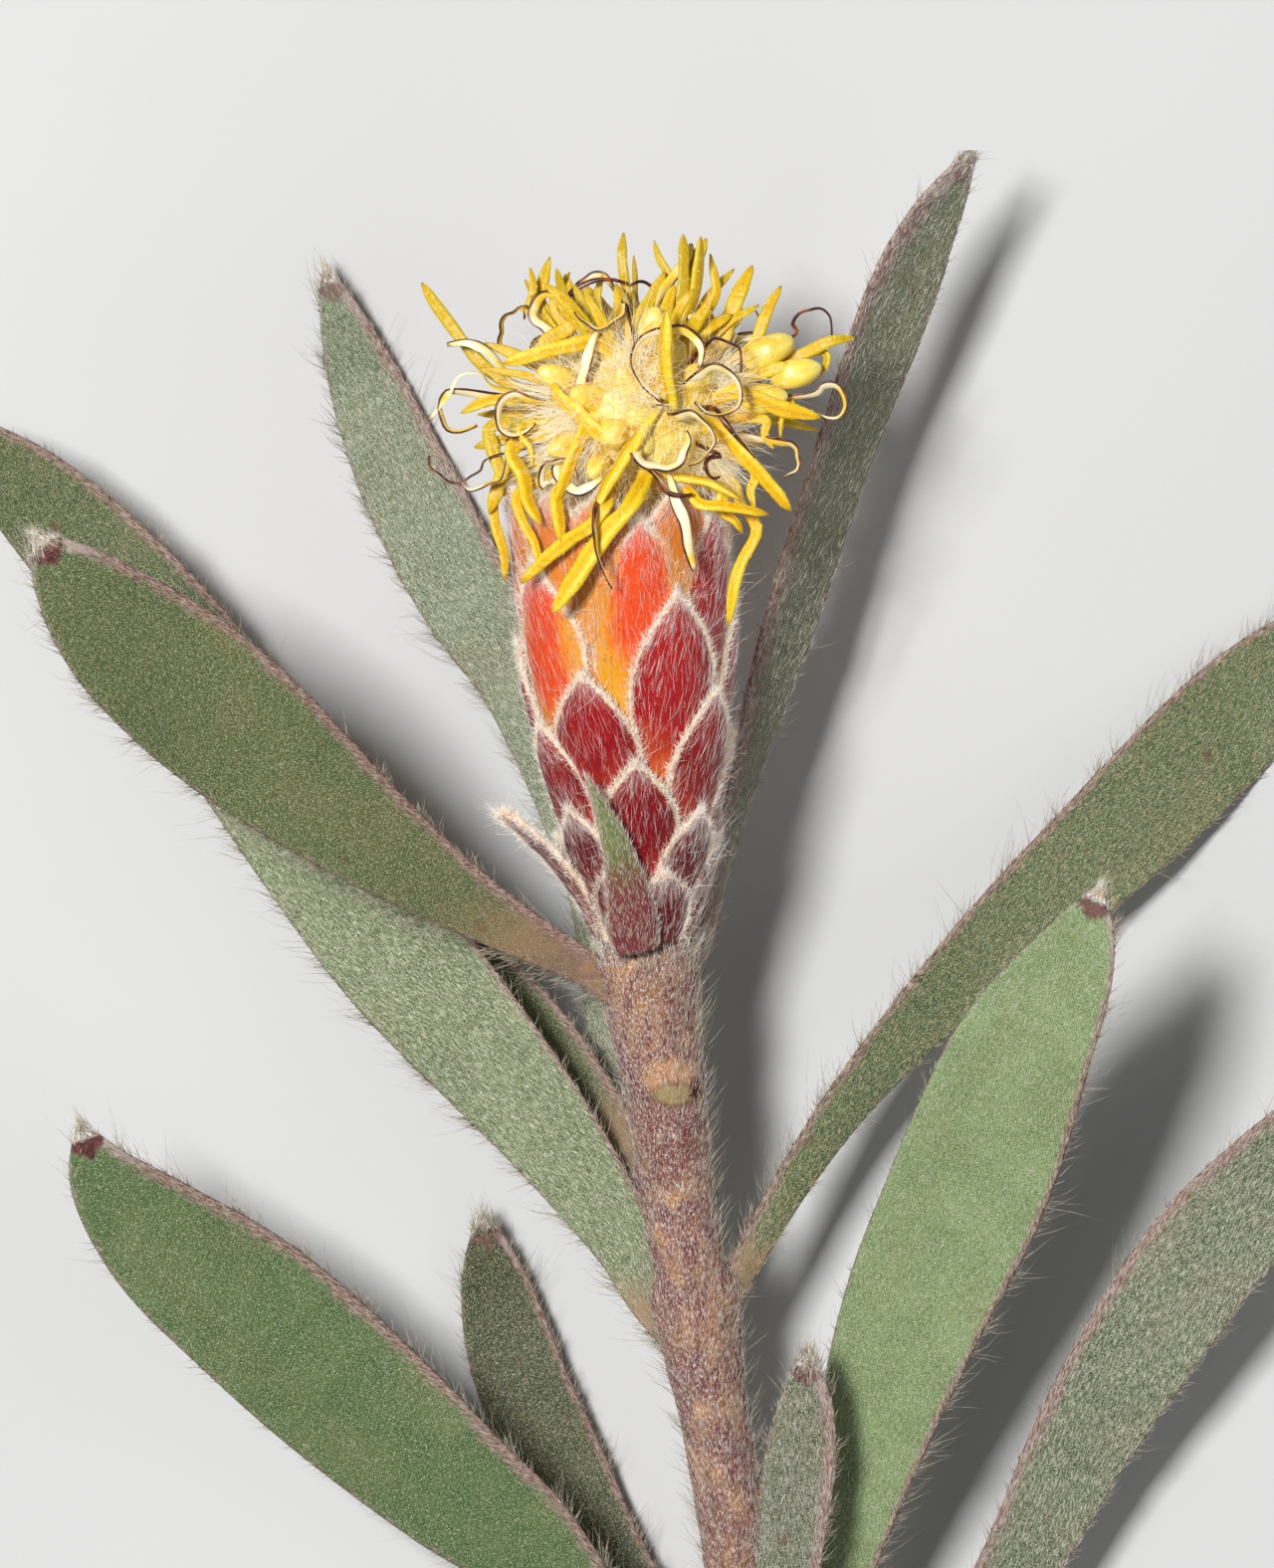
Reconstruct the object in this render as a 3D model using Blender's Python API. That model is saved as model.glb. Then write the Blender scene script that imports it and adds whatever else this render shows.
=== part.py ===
# A conebush shoot lying on its back: one flower head at the tip of a hairy stem, with silky leaves round the
# stem. Seen from straight above the head points up the page (+Y), and z = 0 is the surface that it rests on.
# All lengths are in millimetres and turned to metres where a mesh is made.

import math
import random

import bmesh
import bpy
from mathutils import Matrix, Vector

MM = 0.001
CENTRE_X = 2.13  # middle of the shoot's outline across, taken off every point
CENTRE_Y = -15.64  # middle of the shoot's outline along
GAP = 0.3  # clearance of each leaf, and of the flower head, from what carries it

STEM_SIDES = 16
STEM_STEPS = 34
STEM_RADIUS_TOP = 2.35
STEM_RADIUS_MIDDLE = 1.85
STEM_RADIUS_CUT = 1.55
CUSHION_HEIGHT = 0.55  # the ridge that runs down the stem from each leaf
CUSHION_LENGTH = 6.5
CUSHION_SPREAD = 0.55

LEAF_THICKNESS = 0.62
LEAF_MIDRIB = 0.35  # how much thicker the midrib is at the stem
LEAF_CUP = 0.12
LEAF_WAVE = 0.08
LEAF_TAPER_ABOVE = 0.78  # how bluntly it closes at the tip
LEAF_STEPS = 15
LEAF_ACROSS = 4
PETIOLE_HALF_WIDTH = 0.8
CALLUS_HALF_WIDTH = 0.32

HEAD_BASE = Vector((0.35, -7.6, 13.3))
HEAD_TOP = Vector((-0.9, 14.3, 17.6))
HEAD_RADIUS_BASE = 2.5
HEAD_RADIUS_TOP = 5.15
HEAD_SWELL_LENGTH = 16.0
HEAD_SIDES = 22
BRACT_THICKNESS = 0.7
BRACT_TIP_LIFT = 0.5
BRACT_LIFT_SLOPE = 0.075
BRACT_SHOULDER = 0.48

CROWN = Vector((0.25, 18.25, 18.4))
DOME_RADIUS = 4.5
FINGER_RADIUS = 0.5
STRAP_HALF_WIDTH = 0.3


def clear_scene():
    for obj in list(bpy.data.objects):
        bpy.data.objects.remove(obj, do_unlink=True)


def material(name, colour, roughness):
    made = bpy.data.materials.new(name)
    made.use_nodes = True
    surface = made.node_tree.nodes["Principled BSDF"]
    surface.inputs["Base Color"].default_value = (*colour, 1.0)
    surface.inputs["Roughness"].default_value = roughness
    surface.inputs["Metallic"].default_value = 0.0
    return made


def object_from(name, mesh, surface=None):
    data = bpy.data.meshes.new(name)
    mesh.to_mesh(data)
    mesh.free()
    obj = bpy.data.objects.new(name, data)
    bpy.context.scene.collection.objects.link(obj)
    if surface:
        data.materials.append(surface)
    return obj


def in_metres(point):
    return Vector((point.x - CENTRE_X, point.y - CENTRE_Y, point.z)) * MM


def curve_point(points, t):
    """A point at t, from 0 to 1, on the smooth curve through the points."""
    spans = len(points) - 1
    at = min(max(t, 0.0), 1.0) * spans
    i = min(int(at), spans - 1)
    f = at - i
    b = points[i]
    c = points[i + 1]
    a = points[i - 1] if i > 0 else b * 2 - c
    d = points[i + 2] if i + 2 <= spans else c * 2 - b
    return 0.5 * (
        b * 2 + (c - a) * f + (a * 2 - b * 5 + c * 4 - d) * f * f + (b * 3 - a - c * 3 + d) * f * f * f
    )


def even_curve(points, count):
    """count + 1 points evenly apart along the curve through the points."""
    fine = [curve_point(points, i / 200) for i in range(201)]
    run = [0.0]
    for a, b in zip(fine, fine[1:]):
        run.append(run[-1] + (b - a).length)
    even = []
    i = 0
    for k in range(count + 1):
        goal = run[-1] * k / count
        while i < 199 and run[i + 1] < goal:
            i += 1
        share = (goal - run[i]) / max(run[i + 1] - run[i], 1e-9)
        even.append(fine[i].lerp(fine[i + 1], share))
    return even


def directions(points):
    last = len(points) - 1
    return [(points[min(i + 1, last)] - points[max(i - 1, 0)]).normalized() for i in range(last + 1)]


def wrapped_tube(sides, steps, place):
    """A grid rolled into a closed tube: place(turn, step) gives each point."""
    mesh = bmesh.new()
    bmesh.ops.create_grid(mesh, x_segments=sides, y_segments=steps, size=1.0)
    for vert in mesh.verts:
        turn = round((vert.co.x + 1) / 2 * sides) % sides
        step = round((vert.co.y + 1) / 2 * steps)
        vert.co = place(turn / sides * 2 * math.pi, step)
    bmesh.ops.remove_doubles(mesh, verts=mesh.verts[:], dist=1e-7)
    bmesh.ops.holes_fill(mesh, edges=mesh.edges[:], sides=0)
    bmesh.ops.recalc_face_normals(mesh, faces=mesh.faces[:])
    return mesh


def slab(across_steps, along_steps, place):
    """A closed sheet: place(across, share, layer) gives each point, with layer 0 on one face and 1 on the other."""
    mesh = bmesh.new()
    bmesh.ops.create_grid(mesh, x_segments=across_steps, y_segments=along_steps, size=1.0)
    bmesh.ops.triangulate(mesh, faces=mesh.faces[:], quad_method="FIXED")
    raised = bmesh.ops.extrude_face_region(mesh, geom=mesh.faces[:], use_keep_orig=True)["geom"]
    for item in raised:
        if isinstance(item, bmesh.types.BMVert):
            item.co.z = 1.0
    for vert in mesh.verts:
        vert.co = in_metres(place(vert.co.x, (vert.co.y + 1) / 2, vert.co.z))
    bmesh.ops.recalc_face_normals(mesh, faces=mesh.faces[:])
    return mesh


def tube_along(points, sides, steps, radius_at):
    """A tube on the curve through the points; radius_at(share, turn) gives its radius in millimetres."""
    centres = even_curve(points, steps)
    ways = directions(centres)
    side = ways[0].orthogonal().normalized()
    sides_at = []
    for way in ways:
        side = (side - way * side.dot(way)).normalized()
        sides_at.append(side)

    def place(turn, step):
        across = sides_at[step]
        up = ways[step].cross(across)
        radius = radius_at(step / steps, turn)
        return in_metres(centres[step] + (across * math.cos(turn) + up * math.sin(turn)) * radius)

    return wrapped_tube(sides, steps, place)


def joined(name, core, pieces, surface, solver):
    """One solid from the core and everything rooted in it."""
    group = bpy.data.collections.new(name + "_pieces")
    bpy.context.scene.collection.children.link(group)
    for piece in pieces:
        bpy.context.scene.collection.objects.unlink(piece)
        group.objects.link(piece)
    union = core.modifiers.new("Join", "BOOLEAN")
    union.operation = "UNION"
    union.operand_type = "COLLECTION"
    union.collection = group
    union.solver = solver
    graph = bpy.context.evaluated_depsgraph_get()
    data = bpy.data.meshes.new_from_object(core.evaluated_get(graph))
    core.modifiers.clear()
    core.data = data
    data.name = name
    core.name = name
    data.materials.clear()
    data.materials.append(surface)
    for piece in pieces:
        bpy.data.objects.remove(piece, do_unlink=True)
    bpy.data.collections.remove(group)
    drop_scrap(core)
    return core


def drop_scrap(obj):
    """Keeps only the largest connected body of the object."""
    mesh = bmesh.new()
    mesh.from_mesh(obj.data)
    mesh.verts.ensure_lookup_table()
    seen = set()
    bodies = []
    for start in mesh.verts:
        if start.index in seen:
            continue
        seen.add(start.index)
        body = [start]
        for vert in body:
            for edge in vert.link_edges:
                other = edge.other_vert(vert)
                if other.index not in seen:
                    seen.add(other.index)
                    body.append(other)
        bodies.append(body)
    bodies.sort(key=len)
    for body in bodies[:-1]:
        bmesh.ops.delete(mesh, geom=body, context="VERTS")
    mesh.to_mesh(obj.data)
    mesh.free()


def cut_clear(obj, cutter):
    """Cuts the object back where the cutter's shape reaches it, and keeps its largest body."""
    cut = obj.modifiers.new("Clear", "BOOLEAN")
    cut.operation = "DIFFERENCE"
    cut.object = cutter
    cut.solver = "MANIFOLD"
    graph = bpy.context.evaluated_depsgraph_get()
    data = bpy.data.meshes.new_from_object(obj.evaluated_get(graph))
    obj.modifiers.clear()
    obj.data = data
    drop_scrap(obj)


# Stem: a slightly bent, tapering rod that lies lowest at its cut end. Its centre line is given by these points.
STEM_LINE = [
    Vector((0.35, -7.9, 13.25)),
    Vector((1.5, -16.2, 11.35)),
    Vector((2.5, -23.6, 9.75)),
    Vector((4.0, -32.5, 7.85)),
    Vector((5.7, -43.2, 5.6)),
    Vector((7.2, -53.6, 3.45)),
    Vector((8.3, -62.9, 1.45)),
]
STEM_CENTRES = even_curve(STEM_LINE, STEM_STEPS)
STEM_WAYS = directions(STEM_CENTRES)


def stem_radius(share):
    if share < 0.2:
        return STEM_RADIUS_TOP + (STEM_RADIUS_MIDDLE - STEM_RADIUS_TOP) * (share / 0.2) ** 1.3
    return STEM_RADIUS_MIDDLE + (STEM_RADIUS_CUT - STEM_RADIUS_MIDDLE) * (share - 0.2) / 0.8


def stem_frame(step):
    """Across (to the right) and outward (up) at a step of the stem."""
    way = STEM_WAYS[step]
    outward = (Vector((0, 0, 1)) - way * way.z).normalized()
    return outward.cross(way) * -1, outward


def stem_share_of(point):
    nearest = min(range(STEM_STEPS + 1), key=lambda i: (STEM_CENTRES[i] - point).length)
    return nearest / STEM_STEPS


def stem_turn_of(point):
    """The angle round the stem, from its right side over its top, at which the point lies."""
    step = round(stem_share_of(point) * STEM_STEPS)
    across, outward = stem_frame(step)
    off = point - STEM_CENTRES[step]
    return math.atan2(off.dot(outward), off.dot(across))


# Leaves: each has the points of its midrib from the stem to the tip, its full width, and how far the blade is
# rolled about its midrib at the stem and at the tip, in degrees; 0 lies flat with its whole width seen from above.
# The last figure is how slowly the blade widens from its petiole.
LEAVES = {
    "leaf_1": (
        [(2.5, -24.6, 8.4), (0.8, -22.1, 6.6), (-1.1, -13.8, 4.6), (-2.0, -4.7, 3.5), (-5.3, 4.5, 2.2),
         (-8.6, 9.6, 1.1), (-11.5, 15.0, 0.3), (-13.9, 20.6, 0.35), (-15.9, 26.2, 2.2)],
        5.2, -14, -14, 1.85,
    ),
    "leaf_2": (
        [(2.0, -10.0, 12.2), (3.3, -7.6, 11.6), (4.3, -3.1, 10.6), (6.4, 4.4, 9.8), (8.7, 12.0, 9.3),
         (11.2, 19.6, 9.3), (14.1, 27.1, 10.2), (16.8, 31.8, 11.2)],
        5.6, 58, 50, 1.85,
    ),
    "leaf_3": (
        [(0.0, -11.1, 13.2), (-2.7, -9.2, 14.4), (-7.0, -6.8, 16.4), (-11.9, -3.6, 18.8),
         (-16.8, 0.2, 21.2), (-21.6, 4.2, 23.8), (-25.4, 7.4, 26.2), (-27.9, 10.1, 27.8),
         (-29.4, 12.1, 28.6)],
        7.5, 8, 8, 1.85,
    ),
    "leaf_4": (
        [(3.3, -29.6, 8.9), (0.9, -26.2, 9.5), (-0.6, -23.1, 9.9), (-3.6, -18.7, 10.4),
         (-6.6, -14.9, 10.8), (-11.5, -9.1, 11.3), (-15.7, -3.4, 12.0), (-20.1, 2.1, 13.2),
         (-24.0, 6.1, 14.2), (-27.0, 9.1, 15.2)],
        7.0, -8, -4, 1.2,
    ),
    "leaf_5": (
        [(7.4, -57.8, 3.5), (5.2, -54.0, 4.9), (2.5, -49.5, 6.2), (-4.8, -39.5, 9.4),
         (-9.5, -35.3, 11.0), (-14.5, -30.8, 12.6), (-19.3, -26.5, 14.2), (-23.5, -23.1, 15.6),
         (-26.5, -19.9, 16.9), (-27.8, -17.2, 17.8)],
        7.9, 4, 4, 1.85,
    ),
    "leaf_6": (
        [(6.4, -55.6, 3.2), (7.7, -52.4, 4.6), (8.5, -47.7, 6.0), (9.7, -41.0, 7.9), (11.7, -33.3, 10.4),
         (13.9, -26.6, 12.9), (16.5, -20.6, 15.2), (19.1, -13.8, 17.8), (21.7, -8.8, 19.6),
         (23.0, -5.3, 20.8)],
        7.9, -5, -6, 1.85,
    ),
    "leaf_7": (
        [(6.2, -50.9, 3.9), (6.9, -48.2, 7.0), (7.3, -42.8, 10.5), (7.7, -38.7, 12.3),
         (8.2, -34.6, 13.7), (8.5, -31.6, 14.7), (8.6, -28.6, 15.8)],
        3.7, -12, -16, 1.85,
    ),
    "leaf_8": (
        [(2.8, -27.8, 9.2), (4.9, -25.2, 9.0), (7.0, -21.6, 8.3), (9.9, -17.2, 7.1), (13.8, -12.5, 5.9),
         (18.3, -8.0, 4.5), (23.4, -3.5, 3.0), (27.5, 0.4, 1.6), (31.2, 4.0, 0.45), (35.3, 7.1, 0.3),
         (40.3, 9.8, 1.9)],
        6.3, 22, 8, 2.1,
    ),
    "leaf_9": (
        [(6.9, -58.2, 2.9), (8.8, -55.3, 3.3), (11.6, -51.2, 3.8), (15.4, -46.1, 4.6),
         (19.3, -40.0, 5.4), (22.4, -33.8, 6.1), (25.1, -29.2, 6.8), (28.9, -23.7, 7.8),
         (33.0, -19.2, 8.9), (36.5, -15.5, 10.0), (39.2, -12.4, 11.0)],
        6.1, 6, 6, 1.85,
    ),
    "leaf_10": (
        [(6.4, -49.6, 4.4), (4.8, -47.8, 3.2), (2.3, -44.4, 2.4), (-1.0, -39.9, 1.7), (-3.6, -35.3, 1.4),
         (-5.9, -30.7, 1.35), (-7.2, -26.1, 1.5), (-7.9, -22.3, 2.5)],
        4.7, 0, 0, 1.85,
    ),
    "leaf_11": (
        [(2.0, -22.5, 10.2), (0.2, -19.8, 9.5), (-1.4, -16.7, 8.2), (-4.5, -12.6, 6.7),
         (-8.2, -9.3, 6.0), (-12.4, -4.9, 5.5), (-16.5, -0.8, 5.4), (-20.0, 3.0, 5.6), (-23.6, 7.2, 6.0),
         (-27.3, 11.2, 6.7), (-31.4, 15.3, 7.8), (-36.0, 18.8, 9.4)],
        6.2, -4, -2, 1.85,
    ),
}
LEAF_SCAR = Vector((2.3, -15.9, 13.5))  # where a leaf has dropped from the front of the stem
LEAF_BASES = [Vector(points[1]) for points, *_ in LEAVES.values()] + [LEAF_SCAR]


def leaf_half_width(share, widest, taper_below):
    """Half the blade's width: a narrow petiole, widest two thirds of the way up, drawn in to a callus tip."""
    rise = share**taper_below * (1 - share) ** LEAF_TAPER_ABOVE
    widest_at = taper_below / (taper_below + LEAF_TAPER_ABOVE)
    peak = widest_at**taper_below * (1 - widest_at) ** LEAF_TAPER_ABOVE
    taper = PETIOLE_HALF_WIDTH + (CALLUS_HALF_WIDTH - PETIOLE_HALF_WIDTH) * share
    return taper + (widest / 2 - taper) * rise / peak


def cushion(step, turn):
    """How far the stem's surface is raised by the leaf bases that run down it."""
    raised = 0.0
    for base in LEAF_BASES:
        share = stem_share_of(base)
        below = (step / STEM_STEPS - share) * STEM_LENGTH
        if below < -1.6 or below > CUSHION_LENGTH:
            continue
        along = 1 - below / CUSHION_LENGTH if below > 0 else 1 + below / 1.6
        turned = math.atan2(math.sin(turn - stem_turn_of(base)), math.cos(turn - stem_turn_of(base)))
        raised = max(raised, CUSHION_HEIGHT * along * math.exp(-((turned / CUSHION_SPREAD) ** 2)))
    return raised


STEM_LENGTH = sum((b - a).length for a, b in zip(STEM_CENTRES, STEM_CENTRES[1:]))


def stem_mesh(extra):
    def place(turn, step):
        across, outward = stem_frame(step)
        radius = stem_radius(step / STEM_STEPS) + extra + cushion(step, turn)
        point = STEM_CENTRES[step] + (across * math.cos(turn) + outward * math.sin(turn)) * radius
        if extra and step in (0, STEM_STEPS):
            point += STEM_WAYS[step] * (extra if step else -extra)
        point.z = max(point.z, 0.0)
        return in_metres(point)

    return wrapped_tube(STEM_SIDES, STEM_STEPS, place)


def leaf_mesh(points, widest, roll_at_stem, roll_at_tip, taper_below, steps=LEAF_STEPS):
    """A blade on its midrib, cupped along the middle, gently waved and thickest at the midrib."""
    centres = even_curve([Vector(p) for p in points], steps)
    ways = directions(centres)

    def place(across, share, layer):
        step = round(share * steps)
        way = ways[step]
        roll = math.radians(roll_at_stem + (roll_at_tip - roll_at_stem) * share)
        side = Matrix.Rotation(roll, 3, way) @ way.cross(Vector((0, 0, 1))).normalized()
        half = leaf_half_width(share, widest, taper_below)
        cupped = LEAF_CUP * half * across * across
        waved = LEAF_WAVE * half * across * math.sin(share * 13 + widest * 5)
        thick = LEAF_THICKNESS + LEAF_MIDRIB * (1 - share) * (1 - abs(across))
        up = side.cross(way)
        middle = centres[step] + side * (half * across) + up * (cupped + waved)
        middle.z = max(middle.z, abs(up.z) * thick / 2)  # flattened where it rests on the surface
        return middle + up * (thick * (layer - 0.5))

    return slab(LEAF_ACROSS, steps, place)


# Flower head: bracts overlap like tiles on a spindle-shaped core. Angles run round the head from its front,
# to the right; heights are along its axis from its base.
HEAD_AXIS = (HEAD_TOP - HEAD_BASE).normalized()
HEAD_LENGTH = (HEAD_TOP - HEAD_BASE).length
HEAD_FRONT = (Vector((0, 0, 1)) - HEAD_AXIS * HEAD_AXIS.z).normalized()
HEAD_RIGHT = HEAD_AXIS.cross(HEAD_FRONT)

# angle, height of the tip, width, length
BRACTS = [
    (45, 6.9, 4.2, 6.2),
    (-47, 7.3, 4.3, 6.4),
    (19, 3.9, 3.6, 3.9),
    (-18, 4.6, 3.4, 4.6),
    (-95, 5.2, 4.0, 5.0),
    (84, 5.0, 4.0, 5.0),
    (1, 9.8, 4.4, 7.4),
    (-25, 14.4, 5.2, 8.6),
    (-60, 11.6, 4.8, 7.2),
    (52, 12.9, 4.9, 7.8),
    (97, 10.0, 4.8, 6.8),
    (-100, 15.2, 5.2, 8.2),
    (28, 18.2, 5.3, 9.8),
    (58, 22.2, 5.0, 9.0),
    (98, 17.8, 5.4, 9.0),
    (10, 22.2, 5.7, 12.0),
    (-53, 20.0, 5.4, 9.6),
    (-96, 22.2, 5.4, 10.0),
    (134, 22.0, 5.4, 10.0),
]
FOREMOST = 70
# The small green leaf that stands against the front of the head, given as the leaves are.
LEAFY_BRACT = (
    [(0.0, -8.4, 16.4), (-0.35, -6.0, 17.95), (-1.0, -3.2, 19.4), (-1.8, -1.2, 20.4), (-2.5, 0.4, 21.2)],
    2.4, 6, 6, 0.6,
)
SPREADING_BRACT = (-73, 7.2, 2.4, 7.2)
SPREAD = 2.6


def head_radius(height):
    share = min(max(height / HEAD_SWELL_LENGTH, 0.0), 1.0)
    return HEAD_RADIUS_BASE + (HEAD_RADIUS_TOP - HEAD_RADIUS_BASE) * math.sin(share * math.pi / 2) ** 1.1


def on_head(angle, height, radius):
    outward = HEAD_FRONT * math.cos(angle) + HEAD_RIGHT * math.sin(angle)
    return HEAD_BASE + HEAD_AXIS * height + outward * radius


def bract_half_width(share, width):
    """Half the bract's width: a broad base, broadest at its shoulders, and straight sides up to its point."""
    from_tip = 1 - share
    if from_tip < BRACT_SHOULDER:
        return width / 2 * (0.12 + 0.88 * (1 - (1 - from_tip / BRACT_SHOULDER) ** 1.75))
    return width / 2 * (1 - 0.3 * ((from_tip - BRACT_SHOULDER) / (1 - BRACT_SHOULDER)) ** 2)


def bract_mesh(angle, tip, width, length, spread=0.0):
    """A scale that follows the head's outline; spread lifts its tip off the head."""

    def place(across, share, layer):
        height = tip - length * (1 - share)
        base = head_radius(max(height, 0.0))
        lift = BRACT_TIP_LIFT - BRACT_LIFT_SLOPE * length * (1 - share) + spread * share * share
        turned = math.radians(angle) + bract_half_width(share, width) * across / (base + lift)
        return on_head(turned, height, base + lift - 0.12 * across * across - BRACT_THICKNESS * layer)

    return slab(4, 5, place)


def head_core(extra, first, last):
    steps = 9

    def place(turn, step):
        height = first + (last - first) * step / steps
        return in_metres(on_head(turn, height, head_radius(height) + extra))

    return wrapped_tube(HEAD_SIDES, steps, place)


# Crown of open florets: thick yellow styles, thin curled straps and rounded buds, all rooted in a domed middle.
# Points are across, along and out of the page from the crown's centre.
STYLES = [
    ((1.1, 1.0, 4.0), (-2.6, -5.2, 6.0)),
    ((0.5, -2.6, 4.2), (-4.6, -9.8, 3.8)),
    ((5.6, -4.2, 1.5), (4.3, -10.3, 1.6)),
    ((3.5, 0.0, 3.2), (7.6, -4.6, 4.5)),
    ((-6.5, 2.0, 0.0), (-10.9, 6.8, -1.0)),
    ((2.5, 5.9, 0.0), (3.1, 8.9, 0.0)),
    ((4.1, 3.7, 1.0), (5.6, 7.6, 1.0)),
    ((5.5, 3.8, -0.5), (6.9, 6.6, -1.0)),
    ((-4.7, 6.3, -1.0), (-4.7, 7.9, -1.5)),
    ((-0.6, 6.8, -1.0), (-1.0, 9.3, -1.0)),
    ((-1.6, 3.5, 3.4), (-7.0, 2.9, 3.4)),
    ((-5.3, 1.9, 2.0), (-1.3, -1.6, 5.4)),
    ((2.0, 0.4, 4.2), (1.3, 5.3, 6.0)),
    ((4.6, 1.2, 2.0), (9.6, 0.2, 2.5)),
    ((-3.3, -4.9, 3.2), (-6.1, -8.2, 2.4)),
    ((-6.5, -0.6, 1.6), (-4.9, -5.2, 2.6)),
    ((-3.9, -2.7, 3.4), (-3.9, -7.2, 4.2)),
    ((-5.4, -4.6, 1.2), (-5.3, -7.5, 1.2)),
    ((2.1, -3.1, 3.8), (6.3, -4.9, 4.0)),
    ((0.3, -2.4, 4.2), (5.0, -4.1, 5.0)),
    ((-5.0, 0.8, 0.5), (-8.0, 0.6, 0.2)),
    ((-5.0, -1.5, 1.0), (-7.8, -2.8, 0.6)),
    ((-4.5, -3.0, 1.0), (-7.0, -4.8, 0.8)),
    ((5.5, 2.2, 0.6), (9.6, 3.2, 0.4)),
    ((5.0, -1.5, 1.2), (8.0, -2.4, 1.2)),
    ((4.6, -3.2, 1.0), (6.8, -6.0, 0.9)),
    ((1.0, 5.5, 1.5), (0.4, 8.3, 1.2)),
    ((-2.5, 5.6, 1.0), (-3.3, 7.6, 0.8)),
]
HIDDEN_STYLES = 26
# centre, radius, first angle, sweep
STRAPS = [
    ((0.9, 2.8, 5.0), 1.6, -80, -240),
    ((-6.1, 0.1, 3.0), 1.15, 40, 290),
    ((1.1, -1.2, 5.6), 1.3, 200, 190),
    ((-4.1, -3.1, 4.4), 0.95, 200, -210),
    ((3.8, 1.2, 4.0), 1.2, -150, 300),
    ((9.7, 0.9, 1.4), 0.75, 170, -270),
    ((2.8, -1.1, 4.9), 1.1, -120, 210),
    ((-9.2, 0.4, 0.3), 1.5, -20, 230),
    ((-8.8, -2.4, 0.9), 1.35, 10, -180),
    ((-7.9, -1.5, 1.9), 2.0, 20, -105),
    ((-5.9, 4.7, -0.4), 1.3, -110, -190),
    ((8.4, 4.7, -0.8), 0.95, 200, -230),
    ((6.9, -2.7, 2.0), 1.1, 120, -200),
    ((4.1, -2.6, 4.4), 0.6, 60, 200),
]
# centre, radius across, radius along
BUDS = [
    ((-2.7, 1.0, 3.9), 0.8, 1.3),
    ((-1.4, -0.8, 4.4), 0.85, 1.1),
    ((-3.7, -1.4, 3.5), 0.75, 1.0),
    ((0.2, 0.7, 4.3), 1.0, 1.3),
    ((5.4, 3.0, 1.4), 0.9, 1.2),
    ((5.2, 1.4, 2.2), 0.9, 1.1),
    ((-1.0, 4.2, 2.4), 0.9, 1.2),
    ((2.6, 3.6, 2.6), 0.9, 1.2),
]


def clear_of_head(point, room):
    """Moves a point outward until it clears the bracts by the room given."""
    off = point - HEAD_BASE
    height = off.dot(HEAD_AXIS)
    if height > HEAD_LENGTH + 1.2:
        return point
    outward = off - HEAD_AXIS * height
    needed = head_radius(height) + BRACT_TIP_LIFT + room
    if outward.length >= needed:
        return point
    return HEAD_BASE + HEAD_AXIS * height + outward.normalized() * needed


def style_mesh(root, tip):
    """A tapered finger from inside the dome past its visible root to its blunt tip."""
    root = Vector(root)
    tip = Vector(tip)
    start = root * min(1.0, 3.4 / root.length)
    middle = root.lerp(tip, 0.5) + Vector((0, 0, 0.25))
    line = [start, root, middle, tip] if (root - start).length > 0.8 else [start, middle, tip]
    line = [clear_of_head(CROWN + p, FINGER_RADIUS + GAP + 0.15) for p in line]
    smooth = [clear_of_head(p, FINGER_RADIUS + GAP + 0.15) for p in even_curve(line, 6)]
    smooth[0] = line[0]

    def radius_at(share, turn):
        return FINGER_RADIUS * (1.05 - 0.3 * share if share < 0.99 else 0.4)

    return tube_along(smooth, 5, 6, radius_at)


def strap_mesh(centre, radius, first, sweep):
    """A thin strap that leaves the dome and curls back in a ring."""
    centre = Vector(centre)
    ring = []
    count = 7
    for i in range(count + 1):
        angle = math.radians(first + sweep * i / count)
        tilt = 0.35 * radius * math.sin(angle * 0.5 + radius)
        ring.append(centre + Vector((math.cos(angle) * radius, math.sin(angle) * radius, tilt)))
    foot = ring[0] * min(1.0, 3.2 / ring[0].length)
    line = [CROWN + foot, CROWN + ring[0].lerp(foot, 0.35)] + [CROWN + p for p in ring]
    line = [clear_of_head(p, STRAP_HALF_WIDTH + GAP + 0.15) for p in line]
    return tube_along(line, 4, 12, lambda share, turn: STRAP_HALF_WIDTH * 1.3)


def bud_mesh(centre, across, along):
    mesh = bmesh.new()
    bmesh.ops.create_icosphere(mesh, subdivisions=1, radius=1.0)
    middle = CROWN + Vector(centre)
    outward = Vector(centre).normalized()
    for vert in mesh.verts:
        flat = vert.co - outward * vert.co.dot(outward)
        vert.co = in_metres(middle + flat * across + outward * vert.co.dot(outward) * along)
    return mesh


def dome_mesh():
    """The domed middle of the crown on a short neck that stands on the flower head."""
    steps = 8

    def place(turn, step):
        if step == 0:
            return in_metres(on_head(turn, HEAD_LENGTH + GAP, 4.2))
        lift = math.radians(-52 + 142 * (step - 1) / (steps - 1) * 0.985)
        radius = DOME_RADIUS * math.cos(lift)
        point = HEAD_AXIS * (DOME_RADIUS * math.sin(lift))
        point += (HEAD_FRONT * math.cos(turn) + HEAD_RIGHT * math.sin(turn)) * radius
        return in_metres(CROWN + point)

    return wrapped_tube(16, steps, place)


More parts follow.
